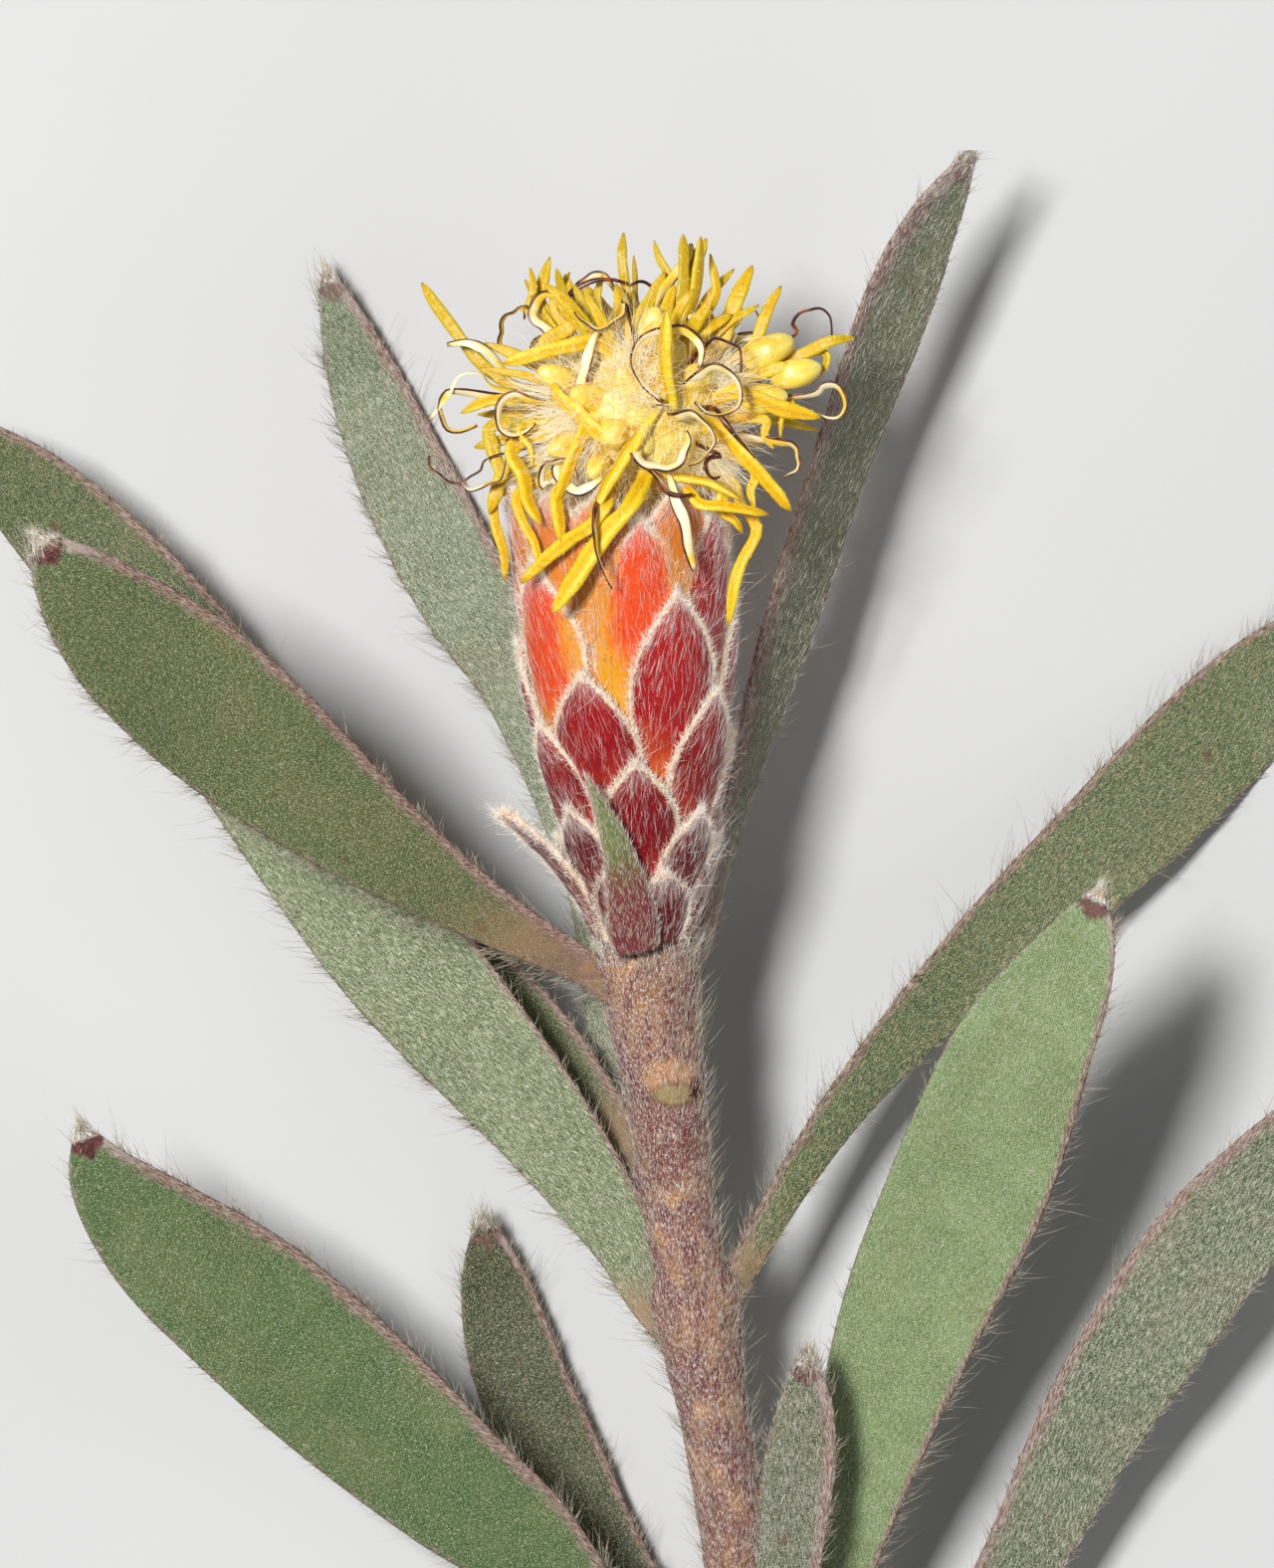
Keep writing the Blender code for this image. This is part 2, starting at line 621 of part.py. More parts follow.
def hidden_styles():
    """Styles on the top, the sides and the back of the crown, spread by the golden angle with a little chance."""
    chance = random.Random(11)
    for i in range(HIDDEN_STYLES):
        turn = i * 2.39996 + chance.uniform(-0.25, 0.25)
        lift = math.radians(chance.uniform(-12, 66))
        outward = HEAD_FRONT * math.cos(turn) + HEAD_RIGHT * math.sin(turn)
        if outward.z > 0.35 and lift < 0.6:
            outward.z = -outward.z
        way = outward * math.cos(lift) + HEAD_AXIS * math.sin(lift)
        bend = Vector((chance.uniform(-1, 1), chance.uniform(-1, 1), chance.uniform(-1, 1)))
        yield way * 3.8, way * chance.uniform(7.4, 9.4) + bend


def build():
    clear_scene()
    green = material("leaf_silky_green", (0.21, 0.27, 0.15), 0.62)
    bark = material("stem_mauve", (0.36, 0.22, 0.17), 0.75)
    crimson = material("bract_crimson", (0.45, 0.05, 0.035), 0.5)
    sage = material("leafy_bract_sage", (0.22, 0.24, 0.14), 0.6)
    yellow = material("floret_yellow", (0.83, 0.52, 0.02), 0.45)

    object_from("stem", stem_mesh(0.0), bark)
    room = object_from("stem_room", stem_mesh(GAP))
    head_room = object_from("head_room", head_core(BRACT_TIP_LIFT + GAP - 0.12, -1.2, HEAD_LENGTH))

    core = object_from("involucre", head_core(-0.45, GAP, HEAD_LENGTH))
    bracts = [bract_mesh(*bract) for bract in BRACTS]
    bracts += [
        bract_mesh(angle + 180, tip - 0.6, width, length)
        for angle, tip, width, length in BRACTS
        if abs(angle) < FOREMOST
    ]
    bracts.append(bract_mesh(*SPREADING_BRACT, spread=SPREAD))
    joined("involucre", core, [object_from("bract", mesh) for mesh in bracts], crimson, "EXACT")
    cut_clear(bpy.data.objects["involucre"], room)

    for name, leaf in LEAVES.items():
        obj = object_from(name, leaf_mesh(*leaf), green)
        cut_clear(obj, room)

    leafy = object_from("leafy_bract", leaf_mesh(*LEAFY_BRACT, steps=8), sage)
    cut_clear(leafy, head_room)

    styles = [style_mesh(root, tip) for root, tip in STYLES]
    styles += [style_mesh(root, tip) for root, tip in hidden_styles()]
    straps = [strap_mesh(*strap) for strap in STRAPS]
    buds = [bud_mesh(*bud) for bud in BUDS]
    dome = object_from("florets", dome_mesh())
    joined("florets", dome, [object_from("floret", mesh) for mesh in styles + straps + buds], yellow, "MANIFOLD")

    for helper in (room, head_room):
        bpy.data.objects.remove(helper, do_unlink=True)


build()
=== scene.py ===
# A conebush shoot that lies on its back: finished surfaces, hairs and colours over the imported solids. Shapes
# are given in millimetres in the camera's view: x to the right, y up the shoot, z up from the surface.
import math
import random

import bmesh
import bpy
import numpy as np
from mathutils import Matrix, Vector, noise


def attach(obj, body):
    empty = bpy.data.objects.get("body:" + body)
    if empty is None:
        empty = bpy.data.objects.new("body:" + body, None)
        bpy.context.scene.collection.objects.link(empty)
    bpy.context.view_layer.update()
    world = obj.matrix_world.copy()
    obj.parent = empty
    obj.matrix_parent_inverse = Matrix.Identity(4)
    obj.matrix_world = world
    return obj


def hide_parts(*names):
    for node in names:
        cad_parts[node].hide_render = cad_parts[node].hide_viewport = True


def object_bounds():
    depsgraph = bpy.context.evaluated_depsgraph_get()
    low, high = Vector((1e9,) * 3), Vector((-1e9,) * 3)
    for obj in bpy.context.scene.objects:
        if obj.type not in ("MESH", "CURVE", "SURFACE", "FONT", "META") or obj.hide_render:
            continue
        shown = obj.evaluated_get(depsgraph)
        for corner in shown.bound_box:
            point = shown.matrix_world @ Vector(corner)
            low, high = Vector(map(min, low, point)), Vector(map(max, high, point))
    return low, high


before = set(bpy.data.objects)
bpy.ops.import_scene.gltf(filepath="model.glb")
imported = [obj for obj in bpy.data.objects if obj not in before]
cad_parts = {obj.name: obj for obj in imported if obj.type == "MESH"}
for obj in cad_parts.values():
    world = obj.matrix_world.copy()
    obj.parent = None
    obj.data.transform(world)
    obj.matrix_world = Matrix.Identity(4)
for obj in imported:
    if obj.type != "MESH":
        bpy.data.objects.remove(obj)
cad_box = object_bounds()


# The stem is a woody twig 3 to 5 mm thick, bent a little and cut at its lower end. Its bark is mauve with tan
# and orange patches under a felt of silver hairs. Low ridges run down it from the leaf bases, and a leaf that
# dropped from its front left a scar.
MM = 0.001
CENTRE_X = 2.13
CENTRE_Y = -15.64
FINE_STEPS = 200
STEM_POINTS = [
    (0.35, -7.9, 13.25), (1.5, -16.2, 11.35), (2.5, -23.6, 9.75), (4.0, -32.5, 7.85), (5.7, -43.2, 5.6),
    (7.2, -53.6, 3.45), (8.3, -62.9, 1.45),
]
STEM_SIDES = 36
STEM_STEPS = 170
STEM_RADIUS_TOP = 2.35
STEM_RADIUS_MIDDLE = 1.85
STEM_RADIUS_CUT = 1.55
STEM_TOP_SHARE = 0.2
BARK_UNEVEN = 0.09
CUSHION_HEIGHT = 0.55
CUSHION_LENGTH = 6.5
CUSHION_SPREAD = 0.55
CUSHION_ABOVE = 1.6
LEAF_SCAR = Vector((2.35, -15.65, 13.4))
SCAR_RADIUS = 0.85
SCAR_DEPTH = 0.22
# midrib from the stem to the tip, full width, roll at the stem and at the tip, slowness of the widening
LEAVES = {
    "leaf_1": (
        [(2.5, -24.6, 8.4), (0.8, -22.1, 6.6), (-1.1, -13.8, 4.6), (-2.0, -4.7, 3.5), (-5.3, 4.5, 2.2),
         (-8.6, 9.6, 1.1), (-11.5, 15.0, 0.3), (-13.9, 20.6, 0.35), (-15.9, 26.2, 2.2)],
        5.2, -14, -14, 1.85,
    ),
    "leaf_2": (
        [(2.0, -10.0, 12.2), (3.3, -7.6, 11.6), (4.3, -3.1, 10.6), (6.4, 4.4, 9.8), (8.7, 12.0, 9.3),
         (11.2, 19.6, 9.3), (14.1, 27.1, 10.2), (16.8, 31.8, 11.2)],
        5.6, 58, 50, 1.85,
    ),
    "leaf_3": (
        [(0.0, -11.1, 13.2), (-2.7, -9.2, 14.4), (-7.0, -6.8, 16.4), (-11.9, -3.6, 18.8),
         (-16.8, 0.2, 21.2), (-21.6, 4.2, 23.8), (-25.4, 7.4, 26.2), (-27.9, 10.1, 27.8),
         (-29.4, 12.1, 28.6)],
        7.5, 8, 8, 1.85,
    ),
    "leaf_4": (
        [(3.3, -29.6, 8.9), (0.9, -26.2, 9.5), (-0.6, -23.1, 9.9), (-3.6, -18.7, 10.4),
         (-6.6, -14.9, 10.8), (-11.5, -9.1, 11.3), (-15.7, -3.4, 12.0), (-20.1, 2.1, 13.2),
         (-24.0, 6.1, 14.2), (-27.0, 9.1, 15.2)],
        7.0, -8, -4, 1.2,
    ),
    "leaf_5": (
        [(7.4, -57.8, 3.5), (5.2, -54.0, 4.9), (2.5, -49.5, 6.2), (-4.8, -39.5, 9.4),
         (-9.5, -35.3, 11.0), (-14.5, -30.8, 12.6), (-19.3, -26.5, 14.2), (-23.5, -23.1, 15.6),
         (-26.5, -19.9, 16.9), (-27.8, -17.2, 17.8)],
        7.9, 4, 4, 1.85,
    ),
    "leaf_6": (
        [(6.4, -55.6, 3.2), (7.7, -52.4, 4.6), (8.5, -47.7, 6.0), (9.7, -41.0, 7.9), (11.7, -33.3, 10.4),
         (13.9, -26.6, 12.9), (16.5, -20.6, 15.2), (19.1, -13.8, 17.8), (21.7, -8.8, 19.6),
         (23.0, -5.3, 20.8)],
        7.9, -5, -6, 1.85,
    ),
    "leaf_7": (
        [(6.2, -50.9, 3.9), (6.9, -48.2, 7.0), (7.3, -42.8, 10.5), (7.7, -38.7, 12.3),
         (8.2, -34.6, 13.7), (8.5, -31.6, 14.7), (8.6, -28.6, 15.8)],
        3.7, -12, -16, 1.85,
    ),
    "leaf_8": (
        [(2.8, -27.8, 9.2), (4.9, -25.2, 9.0), (7.0, -21.6, 8.3), (9.9, -17.2, 7.1), (13.8, -12.5, 5.9),
         (18.3, -8.0, 4.5), (23.4, -3.5, 3.0), (27.5, 0.4, 1.6), (31.2, 4.0, 0.45), (35.3, 7.1, 0.3),
         (40.3, 9.8, 1.9)],
        6.3, 22, 8, 2.1,
    ),
    "leaf_9": (
        [(6.9, -58.2, 2.9), (8.8, -55.3, 3.3), (11.6, -51.2, 3.8), (15.4, -46.1, 4.6),
         (19.3, -40.0, 5.4), (22.4, -33.8, 6.1), (25.1, -29.2, 6.8), (28.9, -23.7, 7.8),
         (33.0, -19.2, 8.9), (36.5, -15.5, 10.0), (39.2, -12.4, 11.0)],
        6.1, 6, 6, 1.85,
    ),
    "leaf_10": (
        [(6.4, -49.6, 4.4), (4.8, -47.8, 3.2), (2.3, -44.4, 2.4), (-1.0, -39.9, 1.7), (-3.6, -35.3, 1.4),
         (-5.9, -30.7, 1.35), (-7.2, -26.1, 1.5), (-7.9, -22.3, 2.5)],
        4.7, 0, 0, 1.85,
    ),
    "leaf_11": (
        [(2.0, -22.5, 10.2), (0.2, -19.8, 9.5), (-1.4, -16.7, 8.2), (-4.5, -12.6, 6.7),
         (-8.2, -9.3, 6.0), (-12.4, -4.9, 5.5), (-16.5, -0.8, 5.4), (-20.0, 3.0, 5.6), (-23.6, 7.2, 6.0),
         (-27.3, 11.2, 6.7), (-31.4, 15.3, 7.8), (-36.0, 18.8, 9.4)],
        6.2, -4, -2, 1.85,
    ),
}


def in_metres(point):
    return Vector((point.x - CENTRE_X, point.y - CENTRE_Y, point.z)) * MM


def curve_point(points, t):
    """A point at t, from 0 to 1, on the smooth curve through the points."""
    spans = len(points) - 1
    at = min(max(t, 0.0), 1.0) * spans
    i = min(int(at), spans - 1)
    f = at - i
    b = points[i]
    c = points[i + 1]
    a = points[i - 1] if i > 0 else b * 2 - c
    d = points[i + 2] if i + 2 <= spans else c * 2 - b
    return 0.5 * (
        b * 2 + (c - a) * f + (a * 2 - b * 5 + c * 4 - d) * f * f + (b * 3 - a - c * 3 + d) * f * f * f
    )


def even_curve(points, count):
    """count + 1 points evenly apart along the curve through the points."""
    fine = [curve_point(points, i / FINE_STEPS) for i in range(FINE_STEPS + 1)]
    run = [0.0]
    for a, b in zip(fine, fine[1:]):
        run.append(run[-1] + (b - a).length)
    even = []
    i = 0
    for k in range(count + 1):
        goal = run[-1] * k / count
        while i < FINE_STEPS - 1 and run[i + 1] < goal:
            i += 1
        share = (goal - run[i]) / max(run[i + 1] - run[i], 1e-9)
        even.append(fine[i].lerp(fine[i + 1], share))
    return even


def directions(points):
    last = len(points) - 1
    return [(points[min(i + 1, last)] - points[max(i - 1, 0)]).normalized() for i in range(last + 1)]


def length_of(points):
    return sum((b - a).length for a, b in zip(points, points[1:]))


def skin_layers(mesh):
    """Where a point lies on a piece, in mm: across, along, and from the edge; and which way is along."""
    return mesh.verts.layers.float_vector.new("skin"), mesh.verts.layers.float_vector.new("way")


def wrapped_tube(sides, steps, place, into=None):
    """A grid rolled into a closed tube; place(turn, step) gives each point and where it lies on the skin."""
    mesh = bmesh.new()
    skin, way = skin_layers(mesh)
    table = [[place(side / sides * 2 * math.pi, step) for side in range(sides)] for step in range(steps + 1)]
    bmesh.ops.create_grid(mesh, x_segments=sides, y_segments=steps, size=1.0)
    for vert in mesh.verts:
        side = round((vert.co.x + 1) / 2 * sides) % sides
        step = round((vert.co.y + 1) / 2 * steps)
        point, lies = table[step][side]
        vert.co = in_metres(point)
        vert[skin] = lies
        vert[way] = (table[min(step + 1, steps)][side][0] - table[max(step - 1, 0)][side][0]).normalized()
    bmesh.ops.remove_doubles(mesh, verts=mesh.verts[:], dist=1e-7)
    bmesh.ops.holes_fill(mesh, edges=mesh.edges[:], sides=0)
    bmesh.ops.recalc_face_normals(mesh, faces=mesh.faces[:])
    if into is None:
        return mesh
    scratch = bpy.data.meshes.new("scratch")
    mesh.to_mesh(scratch)
    mesh.free()
    into.from_mesh(scratch)
    bpy.data.meshes.remove(scratch)
    return into


def placed(name, data):
    """An object in the scene that shows this mesh, lamp or lens."""
    made = bpy.data.objects.new(name, data)
    bpy.context.scene.collection.objects.link(made)
    return made


def piece_from(name, mesh, finish, slot, *nodes):
    """The finished mesh as a smooth piece that rides on the shoot and stands for the nodes named."""
    low, high = cad_box
    for vert in mesh.verts:
        vert.co = [min(max(vert.co[k], low[k]), high[k]) for k in range(3)]
    data = bpy.data.meshes.new(name)
    mesh.to_mesh(data)
    mesh.free()
    data.shade_smooth()
    data.materials.append(finish)
    piece = placed(name, data)
    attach(piece, "root")
    if nodes:
        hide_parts(*nodes)
    return piece


def paint(*screen):
    """A colour given as it shows on a screen, red, green and blue from 0 to 255, as light."""
    return (*[c / 255 / 12.92 if c < 11 else ((c / 255 + 0.055) / 1.055) ** 2.4 for c in screen], 1.0)


class Tone:
    """One value of a finish; sums on it add Math nodes."""

    def __init__(self, finish, socket):
        self.finish = finish
        self.socket = socket

    def sum(self, operation, first, second=0.0):
        return self.finish.node("ShaderNodeMath", {"operation": operation}, {0: first, 1: second})

    def __add__(self, other):
        return self.sum("ADD", self, other)

    def __mul__(self, other):
        return self.sum("MULTIPLY", self, other)

    def __sub__(self, other):
        return self.sum("SUBTRACT", self, other)

    def __rsub__(self, other):
        return self.sum("SUBTRACT", other, self)

    def __abs__(self):
        return self.sum("ABSOLUTE", self)

    def __or__(self, other):
        return self.sum("MAXIMUM", self, other)

    __radd__ = __add__
    __rmul__ = __mul__


class Finish:
    """A material: one glossy or dull surface, and the nodes that vary its colour, roughness and relief."""

    def __init__(self, name, **fixed):
        self.material = bpy.data.materials.new(name)
        self.material.use_nodes = True
        self.tree = self.material.node_tree
        self.surface = self.tree.nodes["Principled BSDF"]
        for socket, value in fixed.items():
            self.surface.inputs[socket.replace("_", " ")].default_value = value

    def node(self, kind, settings, sockets, out=0):
        made = self.tree.nodes.new(kind)
        for setting, value in settings.items():
            setattr(made, setting, value)
        for socket, value in sockets.items():
            if isinstance(value, Tone):
                self.tree.links.new(value.socket, made.inputs[socket])
            else:
                screen_colour = made.inputs[socket].type == "RGBA" and len(value) == 3
                made.inputs[socket].default_value = paint(*value) if screen_colour else value
        return Tone(self, made.outputs[out])

    def lies(self):
        """Across, along and from the edge of the piece, in millimetres, and the three as one vector."""
        place = self.node("ShaderNodeAttribute", {"attribute_name": "skin"}, {}, "Vector")
        return [self.node("ShaderNodeSeparateXYZ", {}, {0: place}, axis) for axis in "XYZ"] + [place]

    def scaled(self, vector, by):
        return self.node("ShaderNodeVectorMath", {"operation": "MULTIPLY"}, {0: vector, 1: by})

    def distance(self, vector, point):
        return self.node("ShaderNodeVectorMath", {"operation": "DISTANCE"}, {0: vector, 1: point}, "Value")

    def object_mm(self):
        place = self.node("ShaderNodeTexCoord", {}, {}, "Object")
        return self.scaled(place, (1000.0, 1000.0, 1000.0))

    def grain(self, vector, scale, detail=2.0, rough=0.5):
        """Noise with grains 1 / scale across, in the units of the vector."""
        sockets = {"Vector": vector, "Scale": scale, "Detail": detail, "Roughness": rough}
        return self.node("ShaderNodeTexNoise", {}, sockets)

    def spots(self, vector, scale, radius):
        """Round spots, one in each cell 1 / scale across: their tone, and where they start and are full."""
        cell = self.node("ShaderNodeTexVoronoi", {}, {"Vector": vector, "Scale": scale})
        return cell, radius * scale * 1.4, radius * scale * 0.7

    def step(self, tone, low, high):
        """0 up to low, 1 from high, and smooth between; low may be the larger."""
        sockets = {0: tone, 1: low, 2: high, 3: 0.0, 4: 1.0}
        return self.node("ShaderNodeMapRange", {"interpolation_type": "SMOOTHSTEP"}, sockets)

    def mix(self, share, first, second):
        return self.node("ShaderNodeMix", {"data_type": "RGBA"}, {0: share, 6: first, 7: second}, 2)

    def over(self, colour, *coats):
        """The colour under coats: for each its tone, where it starts, where it is full, strength and tint."""
        for tone, start, full, strength, tint in coats:
            share = self.step(tone, start, full)
            colour = self.mix(share if strength == 1 else share * strength, colour, tint)
        return colour

    def done(self, colour, height=None, depth_mm=0.0, **varied):
        """The material, with its colour, its relief and whatever else varies over the piece."""
        varied["Base_Color"] = colour
        if height:
            relief = {"Height": height, "Distance": depth_mm * MM, "Strength": 1.0}
            varied["Normal"] = self.node("ShaderNodeBump", {}, relief)
        for socket, tone in varied.items():
            self.tree.links.new(tone.socket, self.surface.inputs[socket.replace("_", " ")])
        return self.material


# off the scar's centre, half the width and height, strength and colour of each tint round the scar
SWELLING_TINTS = [
    ((-0.8, -2.3, 0.0), 1.7, 2.6, 0.7, (116, 48, 50)),
    ((-0.7, 0.9, 0.0), 1.5, 1.1, 0.7, (206, 148, 92)),
]
# the same for the scar itself: its brown rim, its tan face and the dark red notch at its right
SCAR_TINTS = [
    ((-0.35, 0.0, 0.0), 1.3, 0.72, 0.9, (112, 78, 50)),
    ((-0.45, 0.05, 0.0), 1.05, 0.5, 0.9, (168, 146, 100)),
    ((0.55, 0.35, 0.0), 0.3, 0.62, 0.95, (84, 20, 20)),
]
SCAR_FLATNESS = 0.4


def tinted(bark, place, ragged, colour, tints):
    """The bark's colour under ragged oval tints."""
    for off_centre, half_width, half_height, strength, tint in tints:
        centre = LEAF_SCAR + Vector(off_centre)
        size = (1 / half_width, 1 / half_height, SCAR_FLATNESS)
        middle = [value * by for value, by in zip(in_metres(centre) / MM, size)]
        off = bark.distance(bark.scaled(place, size), middle)
        colour = bark.over(colour, (off + ragged, 1.2, 0.7, strength, tint))
    return colour


def bark_finish():
    bark = Finish("hairy_bark", Roughness=0.6, Specular_IOR_Level=0.35)
    place = bark.object_mm()
    drawn_out = bark.scaled(place, (1.0, 0.22, 1.0))
    ragged = bark.grain(place, 1.6, 4.0, 0.7) * 0.9 - 0.45
    felt = bark.grain(drawn_out, 14.0, 3.0, 0.7)
    colour = bark.over(
        (124, 76, 74),
        (bark.grain(place, 0.3, 3.0, 0.6), 0.42, 0.6, 1, (164, 118, 88)),
        (bark.grain(place, 0.7, 3.0), 0.56, 0.7, 0.7, (204, 152, 96)),
        (bark.grain(drawn_out, 1.8, 4.0), 0.5, 0.64, 0.75, (112, 46, 54)),
    )
    colour = tinted(bark, place, ragged, colour, SWELLING_TINTS)
    colour = bark.over(
        colour, (felt, 0.5, 0.64, 0.8, (238, 224, 214)), (felt, 0.46, 0.34, 0.6, (98, 54, 48))
    )
    colour = tinted(bark, place, ragged, colour, SCAR_TINTS)
    pith = in_metres(Vector(STEM_POINTS[-1])) / MM
    from_pith = bark.distance(place, pith)
    wood = bark.over(
        (206, 196, 146),
        (bark.grain(from_pith * 6.0, 1.0, 1.0), 0.4, 0.6, 1, (226, 218, 176)),
        (from_pith + ragged * 0.3, 0.5, 0.4, 1, (168, 150, 96)),
        (from_pith + ragged * 0.2, 1.28, 1.36, 1, (120, 96, 52)),
    )
    along = bark.lies()[1]
    colour = bark.over(colour, (along, stem_length - 0.03, stem_length - 0.005, 1, wood))
    return bark.done(colour, felt + bark.grain(place, 2.2, 3.0), 0.12)


stem_centres = even_curve([Vector(p) for p in STEM_POINTS], STEM_STEPS)
stem_ways = directions(stem_centres)
stem_length = length_of(stem_centres)


def stem_radius(share):
    if share < STEM_TOP_SHARE:
        return STEM_RADIUS_TOP + (STEM_RADIUS_MIDDLE - STEM_RADIUS_TOP) * (share / STEM_TOP_SHARE) ** 1.3
    lower = (share - STEM_TOP_SHARE) / (1 - STEM_TOP_SHARE)
    return STEM_RADIUS_MIDDLE + (STEM_RADIUS_CUT - STEM_RADIUS_MIDDLE) * lower


def stem_frame(step):
    """Across (to the right) and outward (up) at a step of the stem."""
    way = stem_ways[step]
    outward = (Vector((0, 0, 1)) - way * way.z).normalized()
    return outward.cross(way) * -1, outward


def on_stem(point):
    """How far down the stem a point lies, from 0 to 1, and its angle round it."""
    step = min(range(STEM_STEPS + 1), key=lambda i: (stem_centres[i] - point).length)
    across, outward = stem_frame(step)
    off = point - stem_centres[step]
    return step / STEM_STEPS, math.atan2(off.dot(outward), off.dot(across))


leaf_bases = [on_stem(Vector(points[1])) for points, *_ in LEAVES.values()] + [on_stem(LEAF_SCAR)]


def cushion(share, turn):
    """How far the bark is raised by the leaf bases that run down it."""
    raised = 0.0
    for base_share, base_turn in leaf_bases:
        below = (share - base_share) * stem_length
        if below < -CUSHION_ABOVE or below > CUSHION_LENGTH:
            continue
        along = 1 - below / CUSHION_LENGTH if below > 0 else 1 + below / CUSHION_ABOVE
        turned = math.atan2(math.sin(turn - base_turn), math.cos(turn - base_turn))
        raised = max(raised, CUSHION_HEIGHT * along * math.exp(-((turned / CUSHION_SPREAD) ** 2)))
    return raised


def stem_place(turn, step):
    share = step / STEM_STEPS
    across, outward = stem_frame(step)
    way = across * math.cos(turn) + outward * math.sin(turn)
    point = stem_centres[step] + way * (stem_radius(share) + cushion(share, turn))
    from_scar = (point - LEAF_SCAR).length
    point -= way * SCAR_DEPTH * max(0.0, 1 - (from_scar / SCAR_RADIUS) ** 4)
    point += way * BARK_UNEVEN * noise.noise(point * 0.9)
    point.z = max(point.z, 0.0)
    return point, Vector((turn, share * stem_length, 9.0))


stem_mesh = wrapped_tube(STEM_SIDES, STEM_STEPS, stem_place)
stem = piece_from("stem_bark", stem_mesh, bark_finish(), "bark", "stem")


# The hairs are fine, straight or lightly curled, and most of them point up the shoot. They grow on the bark
# and on every leaf and bract, silver to pale gold, and taper from a root that stands in the skin.
def hair_finish(name, pale, warm, glow=0.0):
    """Pale to warm tints from hair to hair; glow is painted light, an emission for the light silk passes on.
    """
    hair = Finish(name, Roughness=0.42, Specular_IOR_Level=0.5, Emission_Strength=glow)
    tint = hair.mix(hair.step(hair.grain(hair.object_mm(), 2.6, 2.0), 0.45, 0.68), pale, warm)
    return hair.done(tint, Emission_Color=tint)


def numbers_of(items, key, width):
    values = np.empty(len(items) * width, np.float64 if key != "vertices" else np.int32)
    items.foreach_get(key, values)
    return values.reshape(-1, width)


def scatter(piece, count, chance, seed):
    """Random places on a piece, thicker where chance(skin) is higher: points, normals, ways and skin."""
    draw = np.random.default_rng(seed)
    data = piece.data
    data.calc_loop_triangles()
    corners = numbers_of(data.loop_triangles, "vertices", 3)
    points = numbers_of(data.vertices, "co", 3)
    normals = numbers_of(data.vertices, "normal", 3)
    skin = numbers_of(data.attributes["skin"].data, "vector", 3)
    ways = numbers_of(data.attributes["way"].data, "vector", 3)
    a, b, c = (points[corners[:, k]] for k in range(3))
    area = np.linalg.norm(np.cross(b - a, c - a), axis=1)
    odds = area * np.maximum(chance(skin[corners].mean(axis=1)), 0.0)
    pick = draw.choice(len(corners), size=count, p=odds / odds.sum())
    s, t = draw.random((2, count))
    over = s + t > 1
    s[over], t[over] = 1 - s[over], 1 - t[over]
    share = np.stack([1 - s - t, s, t], axis=1)[:, :, None]
    found = [(values[corners[pick]] * share).sum(axis=1) for values in (points, normals, ways, skin)]
    for k in (1, 2):
        found[k] /= np.maximum(np.linalg.norm(found[k], axis=1, keepdims=True), 1e-9)
    return draw, *found


def copies_of(name, mesh, count):
    """count copies of the shape in one mesh, one after the other, and the points of a single one."""
    one = bpy.data.meshes.new(name + "_one")
    mesh.to_mesh(one)
    mesh.free()
    single = placed(name + "_one", one)
    copies = single.modifiers.new("Copies", "ARRAY")
    copies.count = count
    copies.use_relative_offset = False
    graph = bpy.context.evaluated_depsgraph_get()
    data = bpy.data.meshes.new_from_object(single.evaluated_get(graph))
    form = numbers_of(one.vertices, "co", 3)
    bpy.data.objects.remove(single, do_unlink=True)
    bpy.data.meshes.remove(one)
    return data, form


def copied_piece(name, data, points, finish):
    """The copies moved to their points, as a piece that rides on the shoot."""
    points = np.clip(points, np.array(cad_box[0]), np.array(cad_box[1]))
    data.vertices.foreach_set("co", points.reshape(-1))
    data.materials.clear()
    data.materials.append(finish)
    data.name = name
    data.shade_smooth()
    data.update()
    piece = placed(name, data)
    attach(piece, "root")


HAIR_FULLNESS = 0.45
SHORTEST_SHARE = 0.05
ASKEW = (0.31, 0.52, 0.79)


